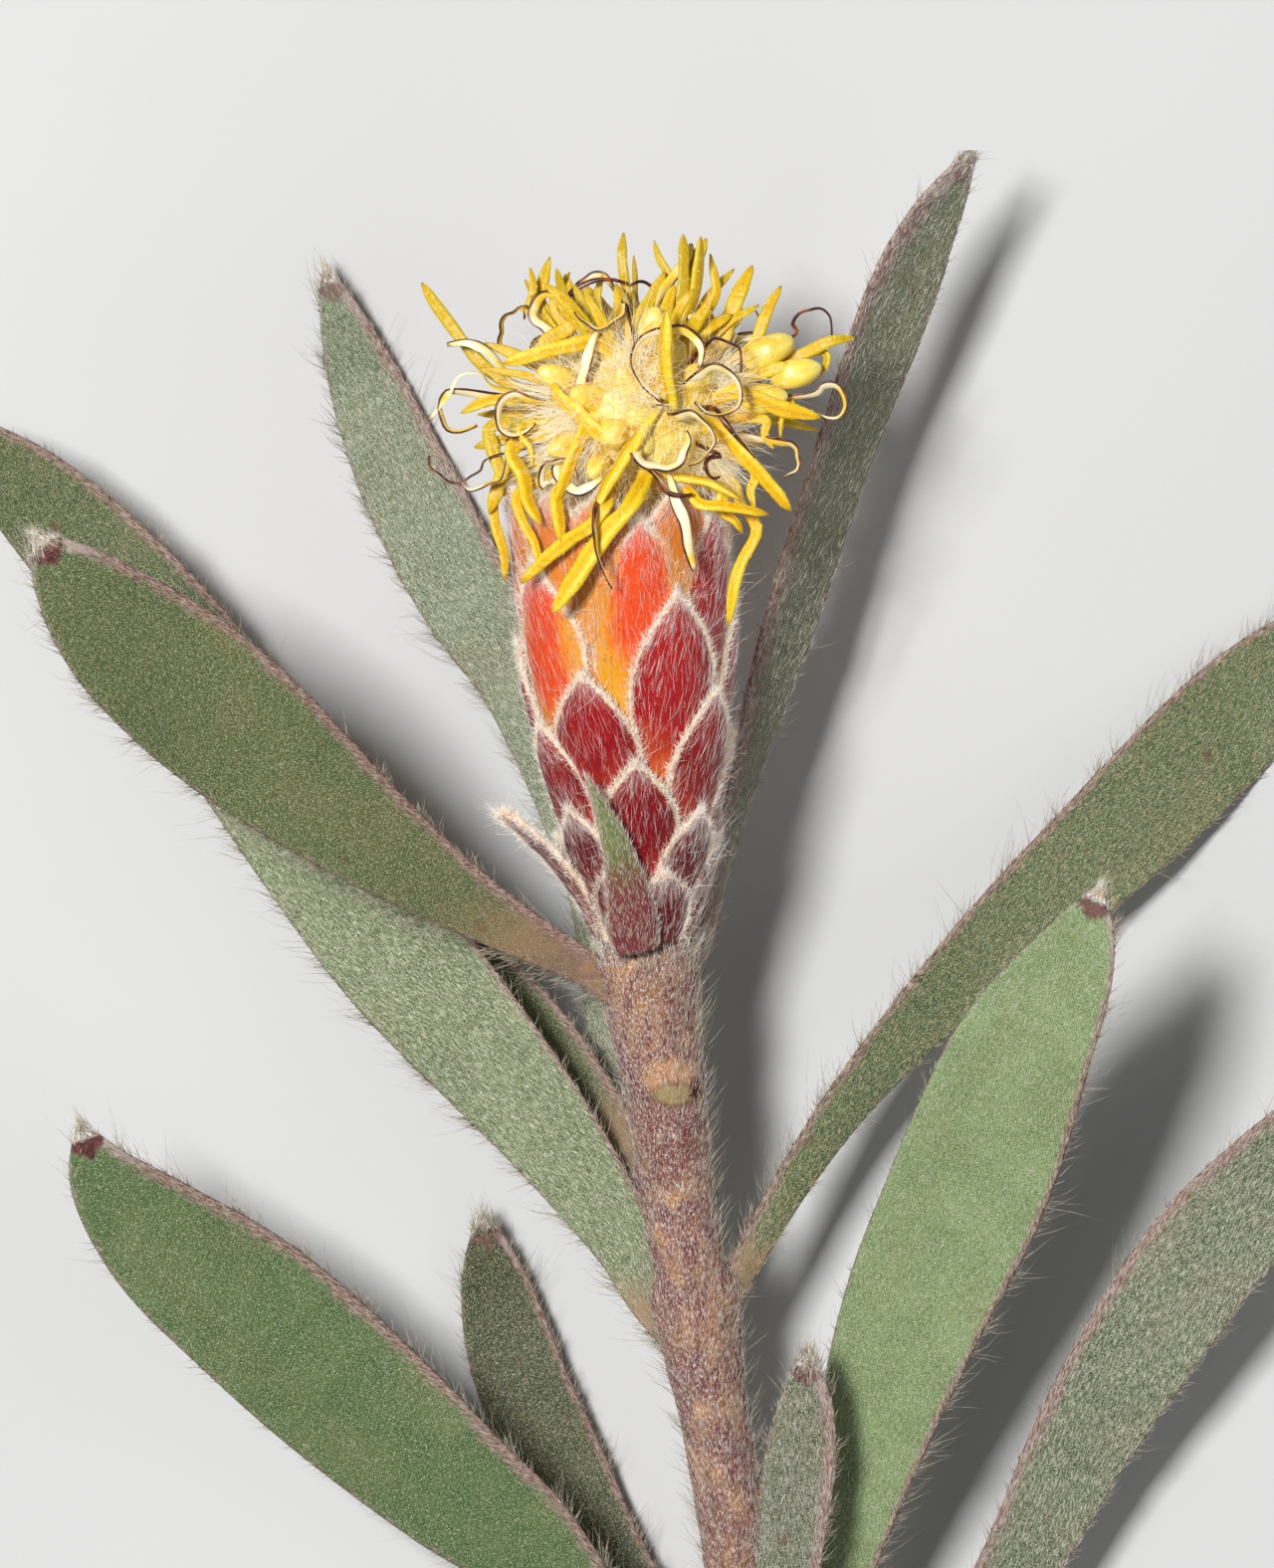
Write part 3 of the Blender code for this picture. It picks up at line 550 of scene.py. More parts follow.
def hairs(name, finish, cuts, roots, ways, bends, lengths, widths):
    """Three-sided tapering hairs, one for each root, that leave along ways and turn towards bends. One that
    would pass the box of the solids is shorter."""
    mesh = bmesh.new()
    bmesh.ops.create_cone(mesh, cap_ends=True, segments=3, radius1=1.0, radius2=0.0, depth=1.0)
    bmesh.ops.remove_doubles(mesh, verts=mesh.verts[:], dist=1e-6)
    bmesh.ops.translate(mesh, verts=mesh.verts[:], vec=(0, 0, 0.5))
    for k in range(cuts):
        whole = mesh.verts[:] + mesh.edges[:] + mesh.faces[:]
        height = (k + 1) / (cuts + 1)
        bmesh.ops.bisect_plane(mesh, geom=whole, plane_co=(0, 0, height), plane_no=(0, 0, 1))
    data, form = copies_of(name, mesh, len(roots))
    up = form[:, 2][None, :, None]
    fat = np.where(up < 0.999, np.maximum(1 - up, 1e-3) ** -HAIR_FULLNESS, 0.0)
    side = np.cross(ways, np.array(ASKEW))
    side /= np.maximum(np.linalg.norm(side, axis=1, keepdims=True), 1e-9)
    other = np.cross(ways, side)
    low, high = (np.array(corner) for corner in cad_box)
    travel = (ways + bends) * lengths[:, None] * MM
    room = np.where(travel > 0, high - roots, roots - low) / np.maximum(abs(travel), 1e-9)
    reach = (lengths * np.clip(room.min(axis=1), SHORTEST_SHARE, 1.0))[:, None, None] * MM
    thick = widths[:, None, None] * MM / 2 * fat
    points = (
        roots[:, None, :]
        + ways[:, None, :] * reach * up
        + bends[:, None, :] * reach * up * up
        + side[:, None, :] * form[:, 0][None, :, None] * thick
        + other[:, None, :] * form[:, 1][None, :, None] * thick
    )
    copied_piece(name, data, points, finish)


def lean(draw, along, out, chaos):
    """A unit way for each hair: some along, some out of the skin, and some at random."""
    way = along + out + draw.normal(0.0, chaos, along.shape)
    return way / np.linalg.norm(way, axis=1, keepdims=True)


def grow(
    name, piece, finish, cuts, count, where, seed, lie, curl, lengths, widths, longer=None, pull=0.0
):
    """Hairs on a piece, thicker where where(skin) is higher. lie is their way and curl their bend: so much
    along the piece, out of it and at random; longer scales their lengths, and pull draws them one way."""
    draw, roots, out, along, skin = scatter(piece, count, where, seed)
    ways = lean(draw, along * lie[0] + pull, out * lie[1], lie[2])
    bends = along * curl[0] + out * curl[1]
    if curl[2]:
        bends = bends + draw.normal(0, curl[2], along.shape)
    size = draw.uniform(*lengths, count)
    if longer:
        size *= longer(draw, skin)
    hairs(name, finish, cuts, roots, ways, bends, size, draw.uniform(*widths, count))


def everywhere(skin):
    return np.ones(len(skin))


def near_head(skin):
    return 1.0 * (skin[:, 1] < COLLAR_LENGTH)


# silver_hair's last number is its glow: painted light from an emission.
silver_hair = hair_finish("silver_hair", (240, 236, 226), (234, 218, 184), 0.08)
golden_hair = hair_finish("golden_hair", (226, 214, 176), (214, 176, 112))
# A darker, browner copy of the pale hairs, used for the stem's whiskers and the leaves' fringes: painted
# shade, for the shaded look of fine hairs.
shaded_fringe_hair = hair_finish("shaded_fringe_hair", (196, 186, 166), (150, 132, 108))
STEM_FELT = 13000
STEM_WHISKERS = 2400
COLLAR_HAIRS = 700
COLLAR_LENGTH = 0.9

grow(
    "stem_felt", stem, silver_hair, 0, STEM_FELT, everywhere, 21,
    (-1, 0.22, 0.22), (0, -0.12, 0), (0.35, 0.9), (0.02, 0.032),
)
grow(
    "stem_whiskers", stem, shaded_fringe_hair, 2, STEM_WHISKERS, everywhere, 22,
    (-0.75, 0.9, 0.2), (-0.45, 0, 0.16), (0.6, 1.45), (0.026, 0.04),
)
grow(
    "stem_collar", stem, silver_hair, 1, COLLAR_HAIRS, near_head, 23,
    (-1, 0.35, 0.3), (0, 0.1, 0), (0.5, 1.3), (0.03, 0.045),
)


# The leaves are firm blades a little hollow above, with silky hairs lying along them. Each has a thin mauve
# rim and ends in a glossy wine-red callus under a white tuft, and clasps the stem by a narrow mauve foot.
LEAF_THICKNESS = 0.5
LEAF_MIDRIB = 0.35
LEAF_CUP = 0.12
LEAF_WAVE = 0.08
LEAF_WAVES = 13
LEAF_UNEVEN = 0.06
LEAF_TAPER_ABOVE = 0.78
PETIOLE_HALF_WIDTH = 0.8
CALLUS_HALF_WIDTH = 0.22
BLADE_SIDES = 26
BLADE_STEPS = 80
LEAF_FELT = 3400
LEAF_FRINGE = 900
LEAF_TUFT = 140
TIP_LENGTH = 0.9
RIM_BAND = 0.09
HAIRY_FOOT = 3.0
# main green, second green, colour of the lying hairs, how silky it looks, width of the mauve rim and its
# side, how red the callus is; the greens of leaf_7, leaf_8, leaf_9 and leaf_11 are a little darker as painted
# shade where the light falls off, and leaf_10's dark colours are painted shade
LEAF_LOOKS = {
    "leaf_1": ((84, 100, 72), (112, 126, 98), (216, 218, 200), 0.85, 0.8, 1, 0.45),
    "leaf_2": ((84, 90, 68), (106, 108, 86), (204, 198, 180), 0.75, 1.5, -1, 0.35),
    "leaf_3": ((66, 86, 42), (84, 92, 50), (180, 170, 124), 0.3, 0.8, 1, 0.9),
    "leaf_4": ((82, 100, 62), (108, 124, 82), (228, 228, 204), 0.85, 0.4, 1, 0.5),
    "leaf_5": ((62, 92, 44), (82, 106, 58), (176, 184, 140), 0.15, 0.9, 1, 0.9),
    "leaf_6": ((106, 130, 80), (124, 148, 98), (212, 216, 178), 0.45, 0.5, 1, 0.75),
    "leaf_7": ((64, 74, 54), (84, 90, 70), (206, 200, 190), 0.8, 0.9, 1, 0.75),
    "leaf_8": ((60, 80, 40), (80, 94, 56), (190, 186, 142), 0.7, 0.5, -1, 0.5),
    "leaf_9": ((62, 74, 48), (86, 96, 68), (220, 220, 198), 0.9, 0.9, -1, 0.5),
    # painted shade: leaf_10's dark greens and hair colour, for a leaf that lies low behind the others
    "leaf_10": ((40, 50, 26), (52, 60, 34), (116, 112, 82), 0.35, 0.5, 1, 0.35),
    "leaf_11": ((54, 76, 38), (70, 84, 46), (168, 158, 106), 0.4, 0.7, 1, 0.5),
}
# how far the mauve of the foot reaches up the leaf, where it is more than on the others
LONG_FEET = {"leaf_3": 11.0, "leaf_11": 8.0}
FOOT_LENGTH = 4.5
GOLDEN_LEAVES = ("leaf_3", "leaf_8", "leaf_10", "leaf_11")
# the margin that carries more and longer hairs: -1 on the left going up the leaf, 1 on the right
HAIRY_SIDES = {"leaf_1": -1, "leaf_3": -1, "leaf_4": -1, "leaf_5": 1, "leaf_6": 1, "leaf_8": -1}


def turned_side(way, degrees):
    """Across a blade that lies level and is then turned about its own way, and out of its upper face."""
    side = Matrix.Rotation(math.radians(degrees), 3, way) @ way.cross(Vector((0, 0, 1))).normalized()
    return side, side.cross(way)


def leaf_half_width(share, widest, taper_below):
    """Half the blade's width: a narrow foot, widest two thirds of the way up, drawn in to the callus."""
    rise = share**taper_below * (1 - share) ** LEAF_TAPER_ABOVE
    widest_at = taper_below / (taper_below + LEAF_TAPER_ABOVE)
    peak = widest_at**taper_below * (1 - widest_at) ** LEAF_TAPER_ABOVE
    taper = PETIOLE_HALF_WIDTH + (CALLUS_HALF_WIDTH - PETIOLE_HALF_WIDTH) * share
    return taper + (widest / 2 - taper) * rise / peak


def rounded(turn):
    """Across a blade from rim to rim, and above or below its middle: flat faces with rounded rims."""
    return math.cos(turn), math.copysign(abs(math.sin(turn)) ** 0.55, math.sin(turn))


def blade(points, widest, roll_at_stem, roll_at_tip, taper_below):
    centres = even_curve([Vector(p) for p in points], BLADE_STEPS)
    ways = directions(centres)
    length = length_of(centres)

    def place(turn, step):
        share = step / BLADE_STEPS
        across, layer = rounded(turn)
        side, up = turned_side(ways[step], roll_at_stem + (roll_at_tip - roll_at_stem) * share)
        half = leaf_half_width(share, widest, taper_below)
        wave = LEAF_WAVE * half * across * math.sin(share * LEAF_WAVES + widest * 5)
        thick = LEAF_THICKNESS + LEAF_MIDRIB * (1 - share) * (1 - abs(across))
        middle = centres[step] + side * (half * across) + up * (LEAF_CUP * half * across * across + wave)
        middle += up * LEAF_UNEVEN * noise.noise(middle * 0.55) + up * 0.02 * noise.noise(middle * 1.9)
        middle.z = max(middle.z, abs(up.z) * thick / 2)
        tip_shut = min(1.0, 0.25 + (1 - share) * BLADE_STEPS / 3)
        point = middle + up * (thick / 2 * layer * tip_shut)
        from_rim = math.copysign(half * (1 - abs(across)), layer)
        return point, Vector((half * across, length * (1 - share), from_rim))

    return wrapped_tube(BLADE_SIDES, BLADE_STEPS, place), length


def leaf_finish(name, length, green, pale_green, silk, silky, rim, rim_side, reddened):
    leaf = Finish("skin_of_" + name, Roughness=0.5, Specular_IOR_Level=0.35)
    across, from_tip, from_rim, lies = leaf.lies()
    own_part = (length * 3.0, length * 7.0, 0.0)
    lies = leaf.node("ShaderNodeVectorMath", {"operation": "ADD"}, {0: lies, 1: own_part})
    leaning = leaf.node("ShaderNodeVectorRotate", {"rotation_type": "Z_AXIS"}, {0: lies, "Angle": 0.22})
    soft = leaf.grain(lies, 0.4, 3.0, 0.6)
    fine = leaf.grain(lies, 2.4, 3.0, 0.7)
    strands = leaf.grain(leaf.scaled(leaning, (1.0, 0.13, 0.0)), 15.0, 3.0, 0.7)
    specks = leaf.grain(leaf.scaled(leaning, (1.0, 0.6, 0.0)), 17.0, 2.0, 0.6)
    mottle = leaf.grain(leaf.scaled(leaning, (1.0, 0.5, 0.0)), 6.0, 2.0, 0.6)
    blemishes = leaf.spots(leaf.scaled(lies, (1.0, 0.8, 0.0)), 0.34, 0.3)
    foot = leaf.over((146, 106, 96), (soft, 0.42, 0.6, 1, (166, 124, 98)))
    far_side = leaf.step(across * rim_side, 0.3, -0.3) * rim * 0.6
    edge = abs(from_rim) + far_side + (fine + soft * 0.6 - 0.7) * 1.5 * rim
    mauve = leaf.over(
        (108, 68, 66),
        (strands, 0.4, 0.62, 1, (186, 162, 152)),
        (from_tip + soft * 2.0, 5.0, 2.0, 0.55, (196, 178, 174)),
    )
    callus_place = from_tip + abs(across) * 0.8 + fine * 0.8, 2.25, 1.85
    wine = leaf.over((62, 12, 22), (fine, 0.4, 0.6, 1, (112, 54, 60)))
    colour = leaf.over(
        green,
        (soft, 0.34, 0.68, 0.8, pale_green),
        (leaf.grain(lies, 0.17, 2.0), 0.5, 0.72, 0.2, (130, 112, 70)),
        (strands, 0.46, 0.7, silky * 0.8, silk),
        (strands, 0.46, 0.34, silky * 0.5, (54, 66, 38)),
        (specks, 0.52, 0.66, 0.5 + silky * 0.2, (206, 206, 172)),
        (specks, 0.47, 0.34, 0.6, (46, 58, 30)),
        (mottle, 0.5, 0.66, 0.14, (190, 196, 158)),
        # painted highlights: tiny white glints, for light catching the hairs
        (*leaf.spots(lies, 3.3, 0.03), 0.7, (232, 232, 214)),
        (*leaf.spots(leaf.scaled(lies, (1.0, 1.2, 0.0)), 1.5, 0.045), 0.75, (34, 34, 22)),
        (*blemishes, leaf.step(soft, 0.4, 0.6) * 0.6, (96, 66, 52)),
        (from_tip + soft * 6.0, length - LONG_FEET.get(name, FOOT_LENGTH), length + 1.0, 0.75, foot),
        (edge, rim * 1.1, rim * 0.4, 0.85, mauve),
        (*callus_place, 0.45 + 0.55 * reddened, leaf.mix(reddened, (122, 92, 88), wine)),
        (from_tip + fine * 0.6, 0.95, 0.7, 1, (214, 206, 200)),
    )
    dull = 0.55 - leaf.step(*callus_place) * 0.25
    return leaf.done(colour, strands + soft, 0.06, Roughness=dull)


def at_tip(skin):
    return 1.0 * (skin[:, 1] < TIP_LENGTH)


def leaf_hairs(name, leaf, length, silky, seed):
    """Silk that lies on both faces, a fringe on the rim, longer on its hairy side, and a tuft at the tip."""

    def on_faces(skin):
        near_rim = 0.6 + 1.0 * np.exp(-abs(skin[:, 2]) / 0.5)
        return (near_rim + 2.0 * (skin[:, 1] > length - HAIRY_FOOT)) * (0.4 + (skin[:, 2] > 0))

    def on_hairy_side(skin):
        return 1.0 * (skin[:, 0] * HAIRY_SIDES.get(name, 0) > 0.3)

    def on_rim(skin):
        clumps = 1 + 0.8 * np.sin(skin[:, 1] * 1.7 + seed) + 0.5 * np.sin(skin[:, 1] * 4.3)
        clumps = clumps * (1 + 1.6 * on_hairy_side(skin))
        return np.exp(-((skin[:, 2] / RIM_BAND) ** 2)) * clumps + 3.0 * (skin[:, 1] < 0.7)

    def longer_on_rim(draw, skin):
        return np.where(draw.random(len(skin)) > 0.84, 2.0, 1.0) * (1 + 0.5 * on_hairy_side(skin))

    silk = golden_hair if name in GOLDEN_LEAVES else silver_hair
    grow(
        name + "_silk", leaf, silk, 0, round(LEAF_FELT * (0.4 + silky)), on_faces, seed,
        (1, 0.12, 0.18), (0, -0.1, 0), (0.25, 0.75), (0.018, 0.032), lambda draw, skin: 0.5 + 0.8 * silky,
    )
    grow(
        name + "_fringe", leaf, shaded_fringe_hair, 1, LEAF_FRINGE, on_rim, seed + 50,
        (0.75, 0.9, 0.3), (0.35, 0, 0.28), (0.25, 0.8), (0.026, 0.042), longer_on_rim,
    )
    grow(
        name + "_tuft", leaf, silver_hair, 1, LEAF_TUFT, at_tip, seed + 90,
        (1, 0.15, 0.14), (0, -0.1, 0), (0.5, 1.5), (0.03, 0.045),
    )


for seed, (name, form) in enumerate(LEAVES.items()):
    mesh, length = blade(*form)
    finish = leaf_finish(name, length, *LEAF_LOOKS[name])
    leaf = piece_from(name + "_blade", mesh, finish, "leaf", name)
    leaf_hairs(name, leaf, length, LEAF_LOOKS[name][3], 100 + seed)


# The flower head below the florets is a spindle of bracts that overlap like tiles, wine red at its foot,
# then crimson, and scarlet with golden sides at its top. Every bract is silky and edged with cream wool.
HEAD_BASE = Vector((0.35, -7.6, 13.3))
HEAD_TOP = Vector((-0.9, 14.3, 17.6))
HEAD_RADIUS_BASE = 2.5
HEAD_RADIUS_TOP = 5.15
HEAD_SWELL_LENGTH = 16.0
HEAD_AXIS = (HEAD_TOP - HEAD_BASE).normalized()
HEAD_LENGTH = (HEAD_TOP - HEAD_BASE).length
HEAD_FRONT = (Vector((0, 0, 1)) - HEAD_AXIS * HEAD_AXIS.z).normalized()
HEAD_RIGHT = HEAD_AXIS.cross(HEAD_FRONT)
BRACT_THICKNESS = 0.3
BRACT_TIP_LIFT = 0.5
BRACT_LIFT_SLOPE = 0.075
BRACT_SHOULDER = 0.48
BRACT_HOLLOW = 0.12
BRACT_UNEVEN = 0.1
BRACT_SIDES = 26
BRACT_STEPS = 30
SILKY_LENGTH = 8.0
# angle round the head from its front, height of the tip, width, length
BRACTS = {
    "lower_bracts": [
        (45, 6.9, 4.2, 6.2),
        (-47, 7.3, 4.3, 6.4),
        (19, 3.9, 3.6, 3.9),
        (-18, 4.6, 3.4, 4.6),
        (-95, 5.2, 4.0, 5.0),
        (84, 5.0, 4.0, 5.0),
    ],
    "middle_bracts": [
        (1, 9.8, 4.4, 7.4),
        (-25, 14.4, 5.2, 8.6),
        (-60, 11.6, 4.8, 7.2),
        (52, 12.9, 4.9, 7.8),
        (97, 10.0, 4.8, 6.8),
        (-100, 15.2, 5.2, 8.2),
    ],
    "upper_bracts": [
        (28, 18.2, 5.3, 9.8),
        (58, 22.2, 5.0, 9.0),
        (98, 17.8, 5.4, 9.0),
    ],
    "top_bracts": [
        (10, 22.2, 5.7, 12.0),
        (-53, 20.0, 5.4, 9.6),
        (-96, 22.2, 5.4, 10.0),
        (134, 22.0, 5.4, 10.0),
    ],
    "tan_bracts": [(angle, 23.7, 5.2, 8.0) for angle in (-76, -38, -10, 33, 80, 125, 170, 215)],
}
SPREADING_BRACT = (-73, 7.2, 2.4, 7.2)
SPREAD = 2.6
# colour of the middle, of the sides and of the base, where the base's colour starts, how hairy, hairs, wool
BRACT_LOOKS = {
    "lower_bracts": ((98, 16, 30), (92, 26, 36), (132, 78, 66), 4.0, 0.7, 5200, 8200),
    # the darker red sides of the middle and upper bracts are painted shade
    "middle_bracts": ((148, 10, 20), (126, 8, 18), (170, 50, 30), 5.8, 0.22, 4400, 9000),
    "upper_bracts": ((168, 14, 20), (150, 10, 20), (214, 96, 34), 8.6, 0.2, 3600, 6200),
    "top_bracts": ((226, 72, 18), (226, 146, 26), (226, 156, 30), 8.0, 0.12, 4000, 5200),
    "tan_bracts": ((216, 120, 34), (214, 148, 62), (214, 138, 44), 4.0, 0.4, 4600, 4600),
}
SHAGGY_HAIRS = 560
CORE_BELOW = 0.4


def head_radius(height):
    share = min(max(height / HEAD_SWELL_LENGTH, 0.0), 1.0)
    return HEAD_RADIUS_BASE + (HEAD_RADIUS_TOP - HEAD_RADIUS_BASE) * math.sin(share * math.pi / 2) ** 1.1


def around_head(angle):
    return HEAD_FRONT * math.cos(angle) + HEAD_RIGHT * math.sin(angle)


def on_head(angle, height, radius):
    return HEAD_BASE + HEAD_AXIS * height + around_head(angle) * radius


def bract_half_width(share, width):
    """Half the bract's width: a broad base, broadest at its shoulders, and straight sides to its point."""
    from_tip = 1 - share
    if from_tip < BRACT_SHOULDER:
        return width / 2 * (0.03 + 0.97 * (1 - (1 - from_tip / BRACT_SHOULDER) ** 1.75))
    return width / 2 * (1 - 0.3 * ((from_tip - BRACT_SHOULDER) / (1 - BRACT_SHOULDER)) ** 2)


def bract(mesh, angle, tip, width, length, spread=0.0):
    """A scale that follows the head's outline; spread lifts its tip off the head and turns its face."""

    def place(turn, step):
        share = step / BRACT_STEPS
        across, layer = rounded(turn)
        from_tip = length * (1 - share)
        height = tip - from_tip
        base = head_radius(max(height, 0.0))
        lift = BRACT_TIP_LIFT - BRACT_LIFT_SLOPE * from_tip + spread * share * (share - 0.18 * across)
        half = bract_half_width(share, width)
        turned = math.radians(angle) + half * across / (base + lift)
        thinned = BRACT_THICKNESS / 2 * (layer - 1) * (0.5 + half / width)
        radius = base + lift - BRACT_HOLLOW * across * across + thinned
        radius += 0.1 * math.sin(share * math.pi) * (1 - across * across)
        point = on_head(turned, height, radius)
        point += (point - on_head(0, height, 0)).normalized() * BRACT_UNEVEN * noise.noise(point * 0.9)
        to_rim = min(half * (1 - abs(across)), 0.7 * from_tip)
        return point, Vector((half * across, from_tip, math.copysign(to_rim, layer)))

    return wrapped_tube(BRACT_SIDES, BRACT_STEPS, place, mesh)


def bract_finish(name, middle, side, base, base_from, hairy):
    scale = Finish(name, Roughness=0.36, Specular_IOR_Level=0.35)
    across, from_tip, from_rim, lies = scale.lies()
    place = scale.object_mm()
    up_shoot = scale.node("ShaderNodeSeparateXYZ", {}, {0: place}, "Y")
    soft = scale.grain(scale.scaled(place, (1.0, 0.5, 1.0)), 0.9, 3.0, 0.6)
    fine = scale.grain(place, 4.5, 3.0, 0.7)
    streak = scale.grain(scale.scaled(lies, (1.0, 0.16, 0.0)), 6.0, 3.0, 0.7)
    silky_tip = scale.step(streak, 0.35, 0.62) * (0.12 + hairy * 0.7)
    wool = scale.over((222, 186, 150), (streak, 0.4, 0.6, 1, (250, 236, 212)))
    colour = scale.over(
        middle,
        # the side colour; on the middle and upper bracts its darker red is painted shade
        (abs(across) + soft * 1.6, 1.7, 3.0, 1, side),
        (up_shoot + soft * 3.0, 20.5, 15.0, 0.5, (84, 8, 22)),
        (from_tip + soft * 3.0 + abs(across) * 0.8, base_from, base_from + 3.6, 1, base),
        (streak, 0.44, 0.3, 0.5, (96, 8, 18)),
        (fine, 0.54, 0.72, 0.3, (228, 90, 50)),
        (streak, 0.56, 0.7, hairy, (236, 200, 186)),
        (from_tip + soft * 2.0, 3.0, 1.2, silky_tip, (222, 196, 190)),
        (abs(from_rim) + fine * 0.6 + streak * 0.3, 0.8, 0.55, 0.9, wool),
    )
    return scale.done(colour, streak + fine * 0.5, 0.08)


# The last numbers of the wool and the white silk are their glow: painted light from an emission.
cream_wool = hair_finish("cream_wool", (255, 248, 232), (248, 228, 196), 0.15)
white_silk = hair_finish("white_silk", (252, 246, 240), (240, 214, 198), 0.1)


def bract_hairs(name, scales, count, wool):
    def near_tips(skin):
        thick = 0.22 + 1.9 * np.exp(-skin[:, 1] / 1.2) + 0.9 * np.exp(-abs(skin[:, 2]) / 0.5)
        return thick * (skin[:, 1] < SILKY_LENGTH) * (skin[:, 2] > 0)

    def on_rims(skin):
        return np.exp(-((skin[:, 2] / 0.16) ** 2)) * np.exp(-((skin[:, 1] / 5.5) ** 4))

    draw, roots, out, along, _ = scatter(scales, count, near_tips, 31)
    ways = lean(draw, along, out * 0.1, 0.13)
    size = draw.uniform(0.5, 1.7, count) ** 1.1
    bends = out * -0.04 + draw.normal(0, 0.1, along.shape)
    widths = draw.uniform(0.015, 0.026, count)
    hairs(name + "_silk", white_silk, 0, roots, ways, bends, size, widths)
    grow(
        name + "_wool", scales, cream_wool, 0, wool, on_rims, 32,
        (0.6, 0.7, 0.55), (0, 0, 0), (0.2, 0.66), (0.026, 0.044),
    )
    grow(
        name + "_shag", scales, white_silk, 2, SHAGGY_HAIRS, on_rims, 33,
        (0.7, 0.5, 0.5), (0, 0, 0.4), (0.7, 1.7), (0.018, 0.03),
    )


def core_place(turn, step):
    height = -CORE_BELOW + (HEAD_LENGTH + CORE_BELOW) * step / BRACT_STEPS
    point = on_head(turn, height, head_radius(height) - 0.25 + 0.05 * math.sin(turn * 9))
    return point, Vector((turn, height, 5.0))


def core_finish():
    core = Finish("head_core", Roughness=0.6)
    height = core.lies()[1]
    place = core.object_mm()
    up = height + core.grain(place, 1.5, 3.0) * 2.0
    strand = core.grain(core.scaled(place, (1.0, 0.2, 1.0)), 5.0, 3.0, 0.7)
    colour = core.over(
        (128, 44, 48),
        (up, 5.0, 11.0, 1, (160, 26, 30)),
        (up, 11.0, 16.0, 1, (214, 132, 62)),
        (strand, 0.48, 0.66, 0.6, (232, 206, 176)),
    )
    return core.done(colour, strand, 0.1)


def front_and_back(scales):
    """The bracts given, and the foremost of them again on the far side, a little lower."""
    if scales[0][1] > HEAD_LENGTH:
        return scales
    return scales + [(angle + 180, tip - 0.6, *size) for angle, tip, *size in scales if abs(angle) < 70]


piece_from("head_core", wrapped_tube(36, BRACT_STEPS, core_place), core_finish(), "bract", "involucre")
for name, scales in BRACTS.items():
    mesh = bmesh.new()
    skin_layers(mesh)
    for form in front_and_back(scales):
        bract(mesh, *form)
    if name == "lower_bracts":
        bract(mesh, *SPREADING_BRACT, SPREAD)
    *colours, count, wool = BRACT_LOOKS[name]
    scales = piece_from(name, mesh, bract_finish(name + "_skin", *colours), "bract", "involucre")
    bract_hairs(name, scales, count, wool)


# One small leaf stands against the front of the flower head, grey-green above and wine red at its broad
# foot, with silky hairs along it.
LEAFY_POINTS = [
    (0.0, -8.4, 16.4), (-0.35, -6.0, 17.95), (-1.0, -3.2, 19.4), (-1.8, -1.2, 20.4), (-2.5, 0.4, 21.2),
]
LEAFY_FOOT_HALF = 1.5
LEAFY_ROLL = 6
LEAFY_STEPS = 40
LEAFY_HAIRS = 1700


def leafy_bract():
    centres = even_curve([Vector(p) for p in LEAFY_POINTS], LEAFY_STEPS)
    ways = directions(centres)
    length = length_of(centres)

    def place(turn, step):
        share = step / LEAFY_STEPS
        across, layer = rounded(turn)
        side, up = turned_side(ways[step], LEAFY_ROLL)
        half = LEAFY_FOOT_HALF * (1 - share) ** 0.9 * (0.7 + 0.3 * min(1.0, share / 0.15)) + 0.05
        thick = 0.25 * layer * (1 - 0.6 * share)
        point = centres[step] + side * half * across + up * (thick - 0.16 * half * across * across)
        point += up * 0.05 * noise.noise(point * 1.2)
        return point, Vector((half * across, length * (1 - share), half * (1 - abs(across))))

    small = Finish("leafy_bract_skin", Roughness=0.55, Sheen_Weight=0.12)
    _, from_tip, from_rim, lies = small.lies()
    streak = small.grain(small.scaled(lies, (1.0, 0.3, 0.0)), 5.0, 3.0, 0.7)
    soft = small.grain(lies, 0.9, 3.0)
    colour = small.over(
        (100, 114, 54),
        (from_tip + soft * 2.0 + streak * 3.0, 6.0, 9.6, 1, (116, 42, 48)),
        (streak, 0.5, 0.68, 0.45, (196, 188, 146)),
        (from_tip + soft, 1.6, 0.6, 0.7, (150, 136, 110)),
        (from_rim + soft * 0.2, 0.3, 0.16, 0.6, (168, 138, 118)),
    )
    finish = small.done(colour, streak, 0.06)
    blade_mesh = wrapped_tube(24, LEAFY_STEPS, place)
    piece = piece_from("leafy_bract_blade", blade_mesh, finish, "leafy_bract", "leafy_bract")
    grow(
        "leafy_bract_silk", piece, silver_hair, 1, LEAFY_HAIRS,
        lambda skin: 0.4 + np.exp(-skin[:, 2] / 0.2), 41,
        (1, 0.3, 0.25), (0, -0.05, 0), (0.25, 0.6), (0.02, 0.03),
    )


leafy_bract()


# The open florets make a crown: grooved yellow styles with pollen on them, thin straps of the split tubes
# that curl back with dark edges, and pale rounded buds, all from a domed middle full of silky hairs.
CROWN = Vector((0.25, 18.25, 18.4))
GAP = 0.3
DOME_RADIUS = 4.5
STRAP_HALF_WIDTH = 0.29
STRAP_HALF_THICKNESS = 0.045
STRAP_HOLLOW = 0.05
STRAP_ROOM = 0.55
STRAP_FOOT = 3.2
CROWN_FOOT = 1.2
DARK_STRAP_SHARE = 0.55
